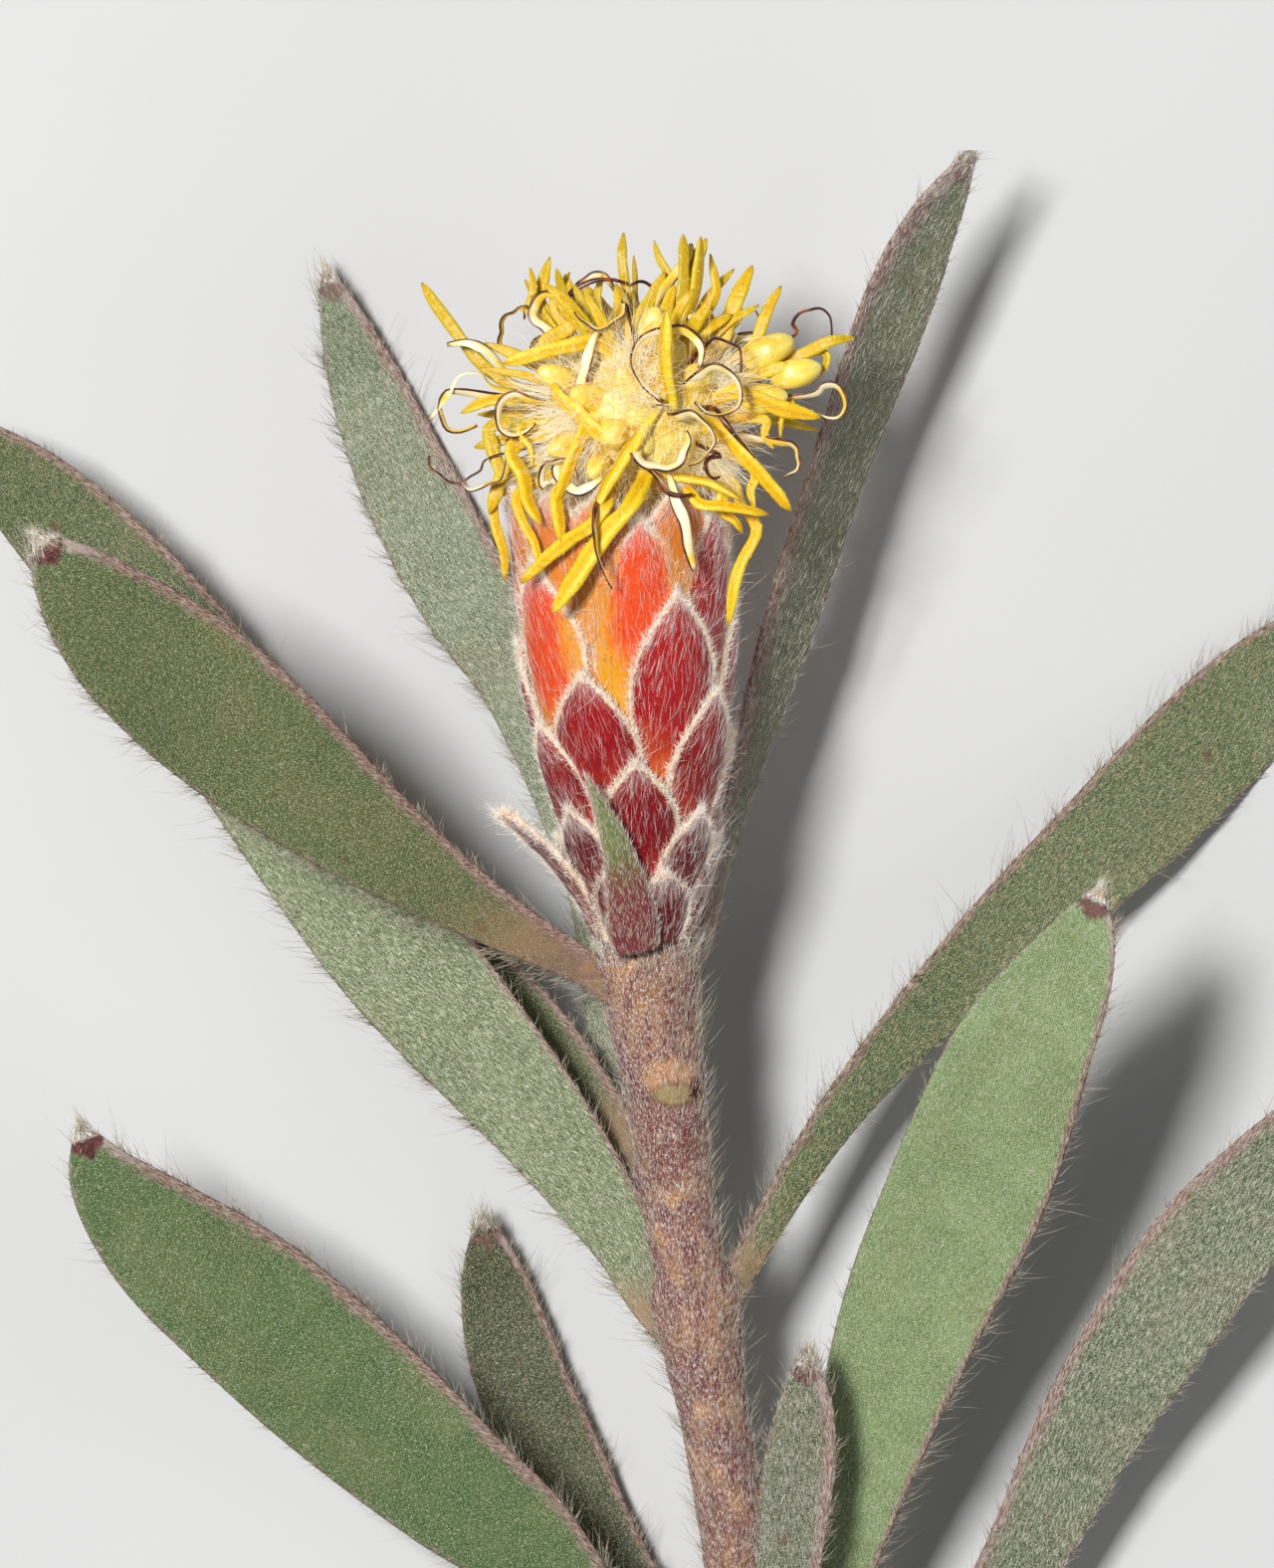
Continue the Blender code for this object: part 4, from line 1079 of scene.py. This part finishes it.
# root and tip of each style from the crown's centre, and half its width
STYLES = [
    ((0.8, 0.5, 4.2), (-2.6, -5.0, 5.2), 0.50),
    ((0.2, -2.9, 3.9), (-4.4, -9.8, 4.8), 0.48),
    ((-2.0, -4.9, 4.4), (-6.0, -8.3, 3.4), 0.34),
    ((-4.4, 1.3, 3.4), (-1.2, -1.7, 4.7), 0.42),
    ((-2.0, 3.6, 3.2), (-6.9, 2.6, 3.4), 0.38),
    ((1.5, 0.5, 4.4), (1.2, 5.2, 6.0), 0.48),
    ((2.1, 6.0, 0.2), (3.2, 9.0, -0.4), 0.40),
    ((3.9, 3.7, 1.2), (5.5, 7.6, 0.6), 0.38),
    ((5.4, 3.5, 0.6), (6.9, 6.6, 0.0), 0.28),
    ((8.0, 3.2, 0.6), (10.6, 4.0, 0.5), 0.30),
    ((4.9, 1.2, 3.0), (8.9, 0.0, 2.4), 0.40),
    ((3.7, -0.6, 3.6), (7.4, -4.7, 3.4), 0.38),
    ((1.3, -2.9, 4.0), (4.9, -4.2, 4.8), 0.38),
    ((2.4, -4.2, 4.2), (6.3, -4.9, 4.0), 0.28),
    ((5.6, -5.2, 2.6), (4.3, -10.4, 2.2), 0.30),
    ((-7.0, 1.9, 0.2), (-11.0, 6.8, -0.8), 0.30),
    ((-4.9, 5.4, -0.8), (-4.6, 8.1, -1.2), 0.34),
    ((-5.5, 5.2, -0.2), (-5.6, 7.5, -0.4), 0.22),
    ((-4.3, 5.2, -0.2), (-3.6, 7.3, -0.6), 0.24),
    ((-2.1, 5.2, -0.4), (-1.9, 7.3, -0.8), 0.24),
    ((-1.4, 4.3, 0.8), (-1.3, 6.7, 0.4), 0.44),
    ((-0.8, 6.6, -0.6), (-0.9, 9.3, -1.0), 0.26),
    ((1.3, 7.0, -0.6), (0.6, 8.9, -1.0), 0.22),
    ((3.6, 5.9, 0.0), (3.4, 8.2, -0.2), 0.22),
    ((-6.4, -1.3, 2.4), (-4.6, -5.3, 3.6), 0.40),
    ((-3.8, -2.8, 3.4), (-3.9, -6.3, 4.4), 0.38),
    ((-5.7, -4.0, 2.6), (-5.0, -7.6, 3.4), 0.25),
    ((-6.6, -2.7, 1.0), (-7.6, -4.8, 1.0), 0.36),
    ((-7.7, -0.5, 0.6), (-6.9, -4.2, 1.2), 0.34),
    ((-6.5, -4.0, 0.4), (-6.7, -8.1, 0.4), 0.26),
    ((6.0, -0.1, 2.2), (6.5, -1.6, 2.2), 0.28),
    ((7.3, 0.7, 1.6), (6.9, -1.1, 1.8), 0.28),
    ((5.5, -2.5, 2.6), (5.6, -4.6, 3.0), 0.28),
    ((3.9, -4.7, 2.8), (5.0, -5.8, 2.6), 0.30),
    ((-5.1, 3.5, 0.6), (-2.5, 5.9, 0.4), 0.34),
    ((-0.1, 5.0, 0.6), (1.1, 7.3, -0.2), 0.34),
    ((0.5, 3.7, 2.0), (1.6, 6.6, 1.4), 0.38),
    ((3.2, 4.2, 1.4), (2.9, 5.8, 1.0), 0.26),
    ((9.3, 3.5, 0.4), (8.5, 1.7, 0.6), 0.24),
    ((-7.0, 0.9, 1.0), (-9.0, 0.2, 0.6), 0.32),
    ((-2.6, 3.7, 1.6), (-3.2, 6.1, 0.8), 0.36),
    ((2.2, 3.4, 2.4), (4.5, 5.1, 1.8), 0.32),
    ((-6.0, -0.6, 2.4), (-5.4, -2.6, 3.2), 0.34),
    ((-2.7, -0.6, 4.4), (-4.2, -4.3, 4.8), 0.34),
    ((5.9, 2.2, 1.4), (8.3, 2.4, 1.2), 0.34),
]
HIDDEN_STYLES = 58
HIDDEN_BUDS = 20
HIDDEN_STRAPS = 18
GOLDEN_TURN = 2.39996
# centre, radius, first angle and sweep of each curled strap, and whether its dark back shows
CURLED_STRAPS = [
    ((1.4, 2.6, 5.0), 1.77, -105, -265, False),
    ((-6.2, 0.0, 3.2), 0.99, 55, 285, False),
    ((1.0, -1.3, 5.6), 1.33, 205, 180, False),
    ((2.3, -1.3, 5.0), 1.23, 115, -205, False),
    ((-4.0, -3.1, 4.5), 0.89, 205, -215, False),
    ((3.7, 1.1, 4.2), 1.18, 140, -300, False),
    ((3.9, 2.6, 3.6), 1.13, 125, -150, True),
    ((9.3, 0.7, 1.6), 0.84, 150, -290, False),
    ((-9.0, 0.3, 0.8), 1.04, 110, 210, False),
    ((-9.3, -1.8, 0.9), 1.43, -10, -165, True),
    ((-8.4, -2.0, 1.7), 1.63, 15, -130, False),
    ((-5.7, 4.3, -0.2), 1.33, 215, -125, False),
    ((8.6, 4.5, -0.4), 0.99, 200, -225, True),
    ((6.9, -2.2, 2.2), 0.89, 85, -165, False),
    ((3.7, -2.6, 4.6), 0.54, 70, 220, True),
]
# points of each strap that hangs or stands loose, and whether its dark back shows
LOOSE_STRAPS = [
    ([(-2.1, -4.1, 5.4), (-2.4, -5.2, 6.2), (-2.3, -6.7, 6.2), (-1.9, -7.8, 5.8), (-1.5, -8.6, 5.4)], True),
    ([(1.3, -3.1, 4.4), (1.6, -4.2, 4.9), (2.1, -5.3, 4.9), (2.3, -6.6, 4.7), (2.6, -7.7, 4.5)], False),
    ([(0.2, -2.6, 4.6), (0.6, -3.0, 5.0), (1.2, -3.8, 5.1), (1.9, -4.0, 5.1), (2.5, -3.9, 5.0)], True),
    ([(3.5, 0.4, 4.0), (4.0, -0.2, 4.5), (4.6, -1.0, 4.5), (5.6, -2.1, 4.2)], True),
    ([(-4.2, -2.6, 4.4), (-3.4, -3.7, 4.9), (-2.7, -3.6, 5.0), (-1.9, -3.1, 5.2)], False),
    ([(-3.0, 1.1, 3.8), (-2.8, 2.4, 4.2), (-2.4, 3.7, 4.0), (-1.9, 4.5, 3.6)], False),
    ([(-6.2, 1.7, 1.6), (-6.9, 2.5, 2.0), (-7.7, 3.3, 2.0), (-8.7, 3.7, 1.8), (-9.7, 3.6, 1.6)], False),
    ([(-4.2, 5.0, -0.4), (-3.6, 6.2, 0.2), (-2.6, 6.8, 0.4), (-1.6, 6.9, 0.4), (-0.7, 6.7, 0.2)], True),
    ([(-7.2, 1.5, 1.0), (-8.0, 2.2, 1.4), (-9.1, 2.1, 1.4), (-9.7, 1.1, 1.2), (-10.6, -0.1, 1.0)], False),
    ([(0.7, 5.2, 0.6), (1.1, 6.3, 0.8), (1.8, 7.3, 0.6), (2.4, 8.0, 0.4), (2.4, 8.7, 0.2)], False),
]
# centre, radius across, radius along
BUDS = [
    ((-2.7, 0.9, 3.8), 0.75, 1.25),
    ((-1.4, -0.9, 4.3), 0.80, 1.10),
    ((-3.8, -1.5, 3.5), 0.75, 1.00),
    ((-0.2, -0.1, 4.0), 0.80, 1.10),
    ((6.3, 3.3, 1.2), 0.85, 1.30),
    ((7.7, 2.2, 1.2), 0.80, 1.30),
    ((6.1, 0.9, 2.2), 0.80, 1.20),
    ((0.5, 4.4, 2.4), 0.80, 1.20),
    ((2.7, 1.9, 3.4), 0.70, 1.10),
    ((-2.2, -2.6, 4.2), 0.60, 0.90),
    ((-4.2, 1.9, 2.8), 0.70, 1.10),
]
SILK_TUFTS = [(-0.3, 0.9, 4.4), (-3.4, 0.0, 3.0), (-2.6, -1.6, 3.4), (-4.2, -1.6, 0.8), (3.6, -1.8, 2.2),
              (-0.5, 2.7, 3.6), (-3.9, 1.6, 1.6), (4.0, 1.6, 1.6)]
STYLE_SIDES = 12
STYLE_STEPS = 26
STYLE_FOOT = 3.4
STYLE_UNEVEN = 0.06
STRAP_SIDES = 10
STRAP_STEPS = 46
RING_POINTS = 7
BUD_SIDES = 20
BUD_STEPS = 18
BUD_SEAMS = 4
POLE_CLEARANCE = 0.985
DOME_STEPS = 26
DOME_SKIRT = 4
SILK_HAIRS = 1300
TUFT_HAIRS = 2000
POLLEN_GRAINS = 1500


def clear_of_head(point, room):
    """Moves a point outward until it clears the bracts by the room given."""
    off = point - HEAD_BASE
    height = off.dot(HEAD_AXIS)
    if height > HEAD_LENGTH + CROWN_FOOT:
        return point
    outward = off - HEAD_AXIS * height
    needed = head_radius(height) + BRACT_TIP_LIFT + room
    if outward.length >= needed:
        return point
    return HEAD_BASE + HEAD_AXIS * height + outward.normalized() * needed


def framed(centres, up):
    """The way along a line, and two sides that turn with it without twisting; the second starts near up."""
    way = (centres[1] - centres[0]).normalized()
    side = way.cross(up) if way.cross(up).length > 0.2 else way.orthogonal()
    for way in directions(centres):
        side = (side - way * side.dot(way)).normalized()
        yield way, side, side.cross(way)


def style(mesh, root, tip, half, bend, olive):
    """A flattened finger from inside the dome past its root to its narrow tip, grooved on both faces."""
    root = Vector(root)
    tip = Vector(tip)
    start = root * min(1.0, STYLE_FOOT / root.length)
    middle = root.lerp(tip, 0.5) + Vector((0.0, 0.0, 0.25)) + bend
    line = [start, root, middle, tip] if (root - start).length > 0.8 else [start, middle, tip]
    line = [clear_of_head(CROWN + p, half + GAP) for p in line]
    smooth = [clear_of_head(p, half + GAP) for p in even_curve(line, 6)]
    smooth[0] = line[0]
    centres = even_curve(smooth, STYLE_STEPS)
    frames = list(framed(centres, Vector((0, 0, 1)) + bend))
    length = length_of(centres)

    def place(turn, step):
        share = step / STYLE_STEPS
        from_tip = length * (1 - share)
        centre = centres[step]
        _, side, other = frames[step]
        radius = half * (0.85 + 0.2 * math.sin(share * 2.4)) * (1 - math.exp(-from_tip / 0.6)) ** 0.7
        radius = max(radius, 0.05) * (1 + 0.22 * noise.noise(centre * 0.9 + bend * 5))
        groove = 1 - 0.4 * abs(math.sin(turn)) ** 7
        flat = 0.66 * math.sin(turn) * groove
        point = centre + side * (math.cos(turn) * radius) + other * (flat * radius)
        point += (side + other) * STYLE_UNEVEN * noise.noise(centre * 0.9 + bend * 9)
        return point, Vector((abs(math.sin(turn)), from_tip, olive))

    return wrapped_tube(STYLE_SIDES, STYLE_STEPS, place, mesh)


def hidden_way(turn, lift, front=1.0, low=0.0):
    """A way out of the dome; one that is low and would face the front is turned to the back."""
    outward = around_head(turn)
    if outward.z > front and lift < low:
        outward.z = -outward.z
    return outward * math.cos(lift) + HEAD_AXIS * math.sin(lift)


def all_styles():
    """The styles in front, then those on the top, the sides and the back, spread by the golden angle."""
    chance = random.Random(11)

    def little(size):
        return Vector([chance.uniform(-size, size) for _ in range(3)])

    for root, tip, half in STYLES:
        bend = little(0.3)
        # the olive share: the styles' own olive tint, partly painted shade, stronger the lower a style is
        # rooted
        yield root, tip, half, bend, min(1.0, max(0.0, 0.75 - root[2] * 0.25)) * chance.uniform(0.5, 1.0)
    for i in range(HIDDEN_STYLES):
        turn = i * GOLDEN_TURN + chance.uniform(-0.25, 0.25)
        way = hidden_way(turn, math.radians(chance.uniform(-12, 70)), 0.35, 0.7)
        tip = way * chance.uniform(6.9, 9.2) + little(0.9)
        yield way * 3.8, tip, chance.uniform(0.2, 0.36), little(0.7), chance.uniform(0.3, 1.0)


def style_finish():
    skin = Finish(
        "style_yellow", Roughness=0.38,
        Subsurface_Weight=0.12, Subsurface_Radius=(1.0, 0.85, 0.2), Subsurface_Scale=0.0004,
    )
    face, from_tip, olive, _ = skin.lies()
    place = skin.object_mm()
    soft = skin.grain(place, 0.4, 3.0, 0.6)
    fine = skin.grain(place, 3.2, 3.0, 0.7)
    colour = skin.over(
        (240, 192, 6),
        (soft, 0.38, 0.64, 1, (238, 206, 34)),
        # the olive tint, partly the styles' own colour and partly painted shade
        (soft, 0.25, 0.5, olive, (180, 160, 20)),
        # painted shade: amber in the grooved middle of each face; painted highlight: pale yellow on the
        # rounded edges
        (face, 0.84, 0.98, 0.45, (206, 144, 4)),
        (face, 0.5, 0.1, 0.4, (252, 224, 84)),
        (fine, 0.56, 0.72, 0.4, (252, 232, 130)),
        (fine, 0.44, 0.3, 0.45, (196, 136, 4)),
        (from_tip + soft, 1.0, 0.6, 0.5, (198, 152, 18)),
    )
    return skin.done(colour, fine + soft, 0.08)


def ribbon(mesh, line, broad_way, dark_back_shows):
    """A thin strap along a line, narrowed to its end; broad_way(share, point, way) is across its faces."""
    centres = even_curve([clear_of_head(p, STRAP_ROOM) for p in line], STRAP_STEPS)
    ways = directions(centres)
    length = length_of(centres)
    shown = -1 if dark_back_shows else 1

    def place(turn, step):
        share = step / STRAP_STEPS
        centre = centres[step]
        broad = broad_way(share, centre, ways[step])
        thin = ways[step].cross(broad).normalized()
        thin = thin if thin.z > 0 else -thin
        narrowed = (1 - 0.6 * max(0.0, share - 0.8) / 0.2) * (1 + 0.3 * noise.noise(centre * 1.2))
        half = STRAP_HALF_WIDTH * (DARK_STRAP_SHARE if dark_back_shows else 1.0) * narrowed
        edge = STRAP_HALF_THICKNESS * math.sin(turn) - STRAP_HOLLOW * math.cos(turn) ** 2
        point = centre + broad * (half * math.cos(turn)) + thin * edge
        return point, Vector((math.cos(turn), length * (1 - share), shown * math.sin(turn)))

    return wrapped_tube(STRAP_SIDES, STRAP_STEPS, place, mesh)


def curled_strap(mesh, centre, radius, first, sweep, dark_back_shows):
    """A strap that leaves the dome and curls back in an uneven ring."""
    centre = Vector(centre)
    ring = []
    for i in range(RING_POINTS + 1):
        angle = math.radians(first + sweep * i / RING_POINTS)
        reach = radius * (1.06 - 0.16 * i / RING_POINTS + 0.07 * math.sin(i * 2.1 + radius * 5))
        tilt = 0.35 * radius * math.sin(angle * 0.5 + radius)
        ring.append(centre + Vector((math.cos(angle) * reach, math.sin(angle) * reach, tilt)))
    foot = ring[0] * min(1.0, STRAP_FOOT / ring[0].length)
    line = [CROWN + foot, CROWN + ring[0].lerp(foot, 0.35)] + [CROWN + p for p in ring]

    def broad_way(share, point, way):
        off = point - CROWN - centre
        off = (off - way * off.dot(way)).normalized()
        rise = way.cross(off)
        rise = rise if rise.z > 0 else -rise
        slant = 0.75 + 0.35 * math.sin(share * 5 + radius * 3)
        return (off * math.cos(slant) + rise * math.sin(slant)).normalized()

    ribbon(mesh, line, broad_way, dark_back_shows)


def all_curled_straps():
    """The straps in front, and more of them round the sides, the top and the back."""
    yield from CURLED_STRAPS
    chance = random.Random(13)
    for i in range(HIDDEN_STRAPS):
        way = hidden_way(i * GOLDEN_TURN + 0.9, math.radians(chance.uniform(-8, 62)), 0.3, 0.8)
        first = math.degrees(math.atan2(-way.y, -way.x)) + chance.uniform(-70, 70)
        sweep = chance.choice((-1, 1)) * chance.uniform(150, 280)
        yield way * chance.uniform(5.6, 7.6), chance.uniform(0.6, 1.3), first, sweep, chance.random() < 0.15


def loose_strap(mesh, points, dark_back_shows):
    """A strap that hangs or stands loose, and turns a little on its way."""
    foot = Vector(points[0]) * (STYLE_FOOT / Vector(points[0]).length)

    def broad_way(share, point, way):
        across = way.cross(Vector((0, 0, 1))).normalized()
        return Matrix.Rotation(0.5 + 0.9 * math.sin(share * 4 + points[0][0]), 3, way) @ across

    ribbon(mesh, [CROWN + foot] + [CROWN + Vector(p) for p in points], broad_way, dark_back_shows)


def strap_finish():
    skin = Finish("curled_strap", Roughness=0.36, Specular_IOR_Level=0.6)
    broad, from_tip, face, _ = skin.lies()
    place = skin.object_mm()
    soft = skin.grain(place, 0.5, 2.0)
    inner = skin.over((252, 240, 196), (soft, 0.44, 0.6, 1, (244, 208, 70)))
    dark = skin.over((62, 20, 16), (skin.grain(place, 1.6, 2.0), 0.45, 0.7, 1, (150, 74, 30)))
    back = skin.step(face, -0.1, -0.4) | skin.step(broad + soft * 0.5, 0.72, 0.95)
    colour = skin.over(skin.mix(back, inner, dark), (from_tip + soft, 0.9, 0.5, 0.7, (90, 34, 20)))
    return skin.done(colour, soft, 0.04)


def bud(mesh, centre, across, along):
    """A swollen floret that hasn't opened, with four low seams."""
    middle = CROWN + Vector(centre)
    outward = Vector(centre).normalized()
    side = outward.orthogonal().normalized()
    other = outward.cross(side)

    def place(turn, step):
        lift = math.pi * (step / BUD_STEPS - 0.5) * POLE_CLEARANCE
        bulge = math.cos(lift) * (1 + 0.07 * math.cos(turn * BUD_SEAMS)) * (1 - 0.16 * math.sin(lift))
        point = middle + (side * math.cos(turn) + other * math.sin(turn)) * across * bulge
        point += outward * along * math.sin(lift)
        point += outward * 0.22 * noise.noise(point * 0.8)
        return point, Vector((math.cos(turn * BUD_SEAMS), step / BUD_STEPS, math.sin(lift)))

    return wrapped_tube(BUD_SIDES, BUD_STEPS, place, mesh)


def all_buds():
    """The buds in front, and more of them all over the dome."""
    yield from BUDS
    chance = random.Random(12)
    for i in range(HIDDEN_BUDS):
        way = hidden_way(i * GOLDEN_TURN, math.asin(1.15 * (i + 0.5) / HIDDEN_BUDS - 0.17))
        yield way * chance.uniform(3.5, 4.0), chance.uniform(0.6, 0.9), chance.uniform(1.0, 1.5)


def bud_finish():
    skin = Finish(
        "bud_pale_yellow", Roughness=0.35,
        Subsurface_Weight=0.25, Subsurface_Radius=(1.0, 0.85, 0.4), Subsurface_Scale=0.0006,
    )
    seam, _, lift, _ = skin.lies()
    place = skin.object_mm()
    soft = skin.grain(place, 0.7, 3.0)
    strand = skin.grain(place, 4.0, 3.0, 0.7)
    colour = skin.over(
        (242, 214, 84),
        (soft, 0.4, 0.62, 1, (232, 192, 44)),
        (seam, -0.6, -1.0, 0.5, (206, 170, 60)),
        (lift, 0.4, 1.0, 0.45, (236, 226, 128)),
        (strand, 0.54, 0.7, 0.6, (255, 248, 214)),
    )
    return skin.done(colour, soft + strand * 0.4, 0.06)


def dome_place(turn, step):
    if step < DOME_SKIRT:
        point = on_head(turn, HEAD_LENGTH + GAP - 0.25 * (DOME_SKIRT - 1 - step), 4.2)
    else:
        lift = math.radians(-52 + 142 * (step - DOME_SKIRT) / (DOME_STEPS - DOME_SKIRT) * POLE_CLEARANCE)
        outward = around_head(turn)
        point = CROWN + HEAD_AXIS * (DOME_RADIUS * math.sin(lift)) + outward * DOME_RADIUS * math.cos(lift)
        point += outward * 0.25 * noise.noise(point * 0.8)
    return point, point - CROWN


def dome_finish():
    middle = Finish("crown_middle", Roughness=0.5, Subsurface_Weight=0.1, Subsurface_Scale=0.0004)
    place = middle.object_mm()
    soft = middle.grain(place, 0.8, 3.0)
    strand = middle.grain(middle.scaled(place, (1.0, 0.4, 1.0)), 4.0, 3.0, 0.7)
    colour = middle.over(
        (232, 190, 52), (soft, 0.4, 0.62, 1, (244, 220, 122)), (strand, 0.5, 0.66, 0.7, (255, 246, 212))
    )
    return middle.done(colour, soft + strand, 0.2)


def in_tufts(skin):
    return sum(np.exp(-((skin - np.array(tuft)) ** 2).sum(axis=1) / 1.1) for tuft in SILK_TUFTS)


def pollen(styles, count):
    """Grains that stick to the styles, most of them near the tips."""
    draw, roots, out, *_ = scatter(styles, count, lambda skin: 1.0 + 2.0 * (skin[:, 1] < 3.0), 71)
    mesh = bmesh.new()
    bmesh.ops.create_icosphere(mesh, subdivisions=1, radius=1.0)
    grain_data, form = copies_of("pollen", mesh, len(roots))
    size = draw.uniform(0.02, 0.045, len(roots))[:, None, None] * MM
    points = roots[:, None, :] + out[:, None, :] * size * 0.5 + form[None, :, :] * size
    grains = Finish("pollen_yellow", Roughness=0.6)
    tint = grains.step(grains.grain(grains.object_mm(), 3.0, 1.0), 0.4, 0.6)
    finish = grains.done(grains.mix(tint, (252, 218, 70), (255, 244, 170)))
    copied_piece("pollen", grain_data, points, finish)


def floret_piece(name, shape, forms, finish):
    mesh = bmesh.new()
    skin_layers(mesh)
    for form in forms:
        shape(mesh, *form)
    return piece_from(name, mesh, finish, "floret", "florets")


# The crown's silk glows: painted light from an emission.
cream_silk = hair_finish("crown_silk", (254, 248, 230), (244, 224, 160), 0.25)
strap_skin = strap_finish()
styles = floret_piece("styles", style, all_styles(), style_finish())
floret_piece("curled_straps", curled_strap, all_curled_straps(), strap_skin)
floret_piece("loose_straps", loose_strap, LOOSE_STRAPS, strap_skin)
floret_piece("buds", bud, all_buds(), bud_finish())
dome = piece_from("crown_dome", wrapped_tube(40, DOME_STEPS, dome_place), dome_finish(), "floret", "florets")
grow(
    "crown_silk", dome, cream_silk, 2, SILK_HAIRS, everywhere, 61,
    (0.2, 0.9, 0.4), (0, 0, 0.3), (0.9, 2.4), (0.02, 0.032),
)
grow(
    "silk_tufts", dome, cream_silk, 2, TUFT_HAIRS, in_tufts, 62,
    (0, 0.9, 0.3), (0, 0, 0.32), (1.2, 3.4), (0.022, 0.036), pull=np.array((0.0, -0.1, 0.25)),
)
pollen(styles, POLLEN_GRAINS)


# The shoot lies on a plain pale floor under two soft studio lights, and the camera looks straight down on
# its front from 0.6 m.
VIEW_HEIGHT = 0.600
VIEW_FOCUS_Z = 0.014
VIEW_TALL = 0.0788
SENSOR = 36.0
FLOOR_HALF = 1.5
FLOOR_GAP = 0.00002
FLOOR_TINTS = ((0.57, 0.57, 0.565, 1.0), (0.6, 0.6, 0.595, 1.0))
# place, size and power of each lamp, in metres and watts
LIGHTS = {"key_light": ((-0.20, 0.12, 0.66), 0.12, 5.6), "fill_light": ((0.45, -0.20, 0.55), 0.5, 0.6)}
SKY_COLOUR = (0.95, 0.97, 1.0, 1.0)
SKY_STRENGTH = 0.16

mesh = bmesh.new()
bmesh.ops.create_grid(mesh, x_segments=1, y_segments=1, size=FLOOR_HALF)
bmesh.ops.translate(mesh, verts=mesh.verts[:], vec=(0, 0, -FLOOR_GAP))
floor_data = bpy.data.meshes.new("floor")
mesh.to_mesh(floor_data)
mesh.free()
floor = placed("floor", floor_data)
pale = Finish("pale_floor", Roughness=0.8)
tint = pale.step(pale.grain(pale.object_mm(), 0.02, 2.0), 0.3, 0.7)
floor_data.materials.append(pale.done(pale.mix(tint, *FLOOR_TINTS)))

for name, (place, size, power) in LIGHTS.items():
    lamp = bpy.data.lights.new(name, "AREA")
    lamp.size = size
    lamp.energy = power
    holder = placed(name, lamp)
    holder.location = place
    holder.rotation_euler = (-Vector(place)).to_track_quat("-Z", "Y").to_euler()
world = bpy.data.worlds.new("studio")
bpy.context.scene.world = world
world.use_nodes = True
sky = world.node_tree.nodes["Background"].inputs
sky["Color"].default_value = SKY_COLOUR
sky["Strength"].default_value = SKY_STRENGTH
bpy.context.scene.view_settings.view_transform = "Standard"

lens = bpy.data.cameras.new("camera")
lens.sensor_width = SENSOR
lens.lens = SENSOR * VIEW_HEIGHT / VIEW_TALL
camera = placed("camera", lens)
camera.location = (-CENTRE_X * MM, -CENTRE_Y * MM, VIEW_FOCUS_Z + VIEW_HEIGHT)
bpy.context.scene.camera = camera
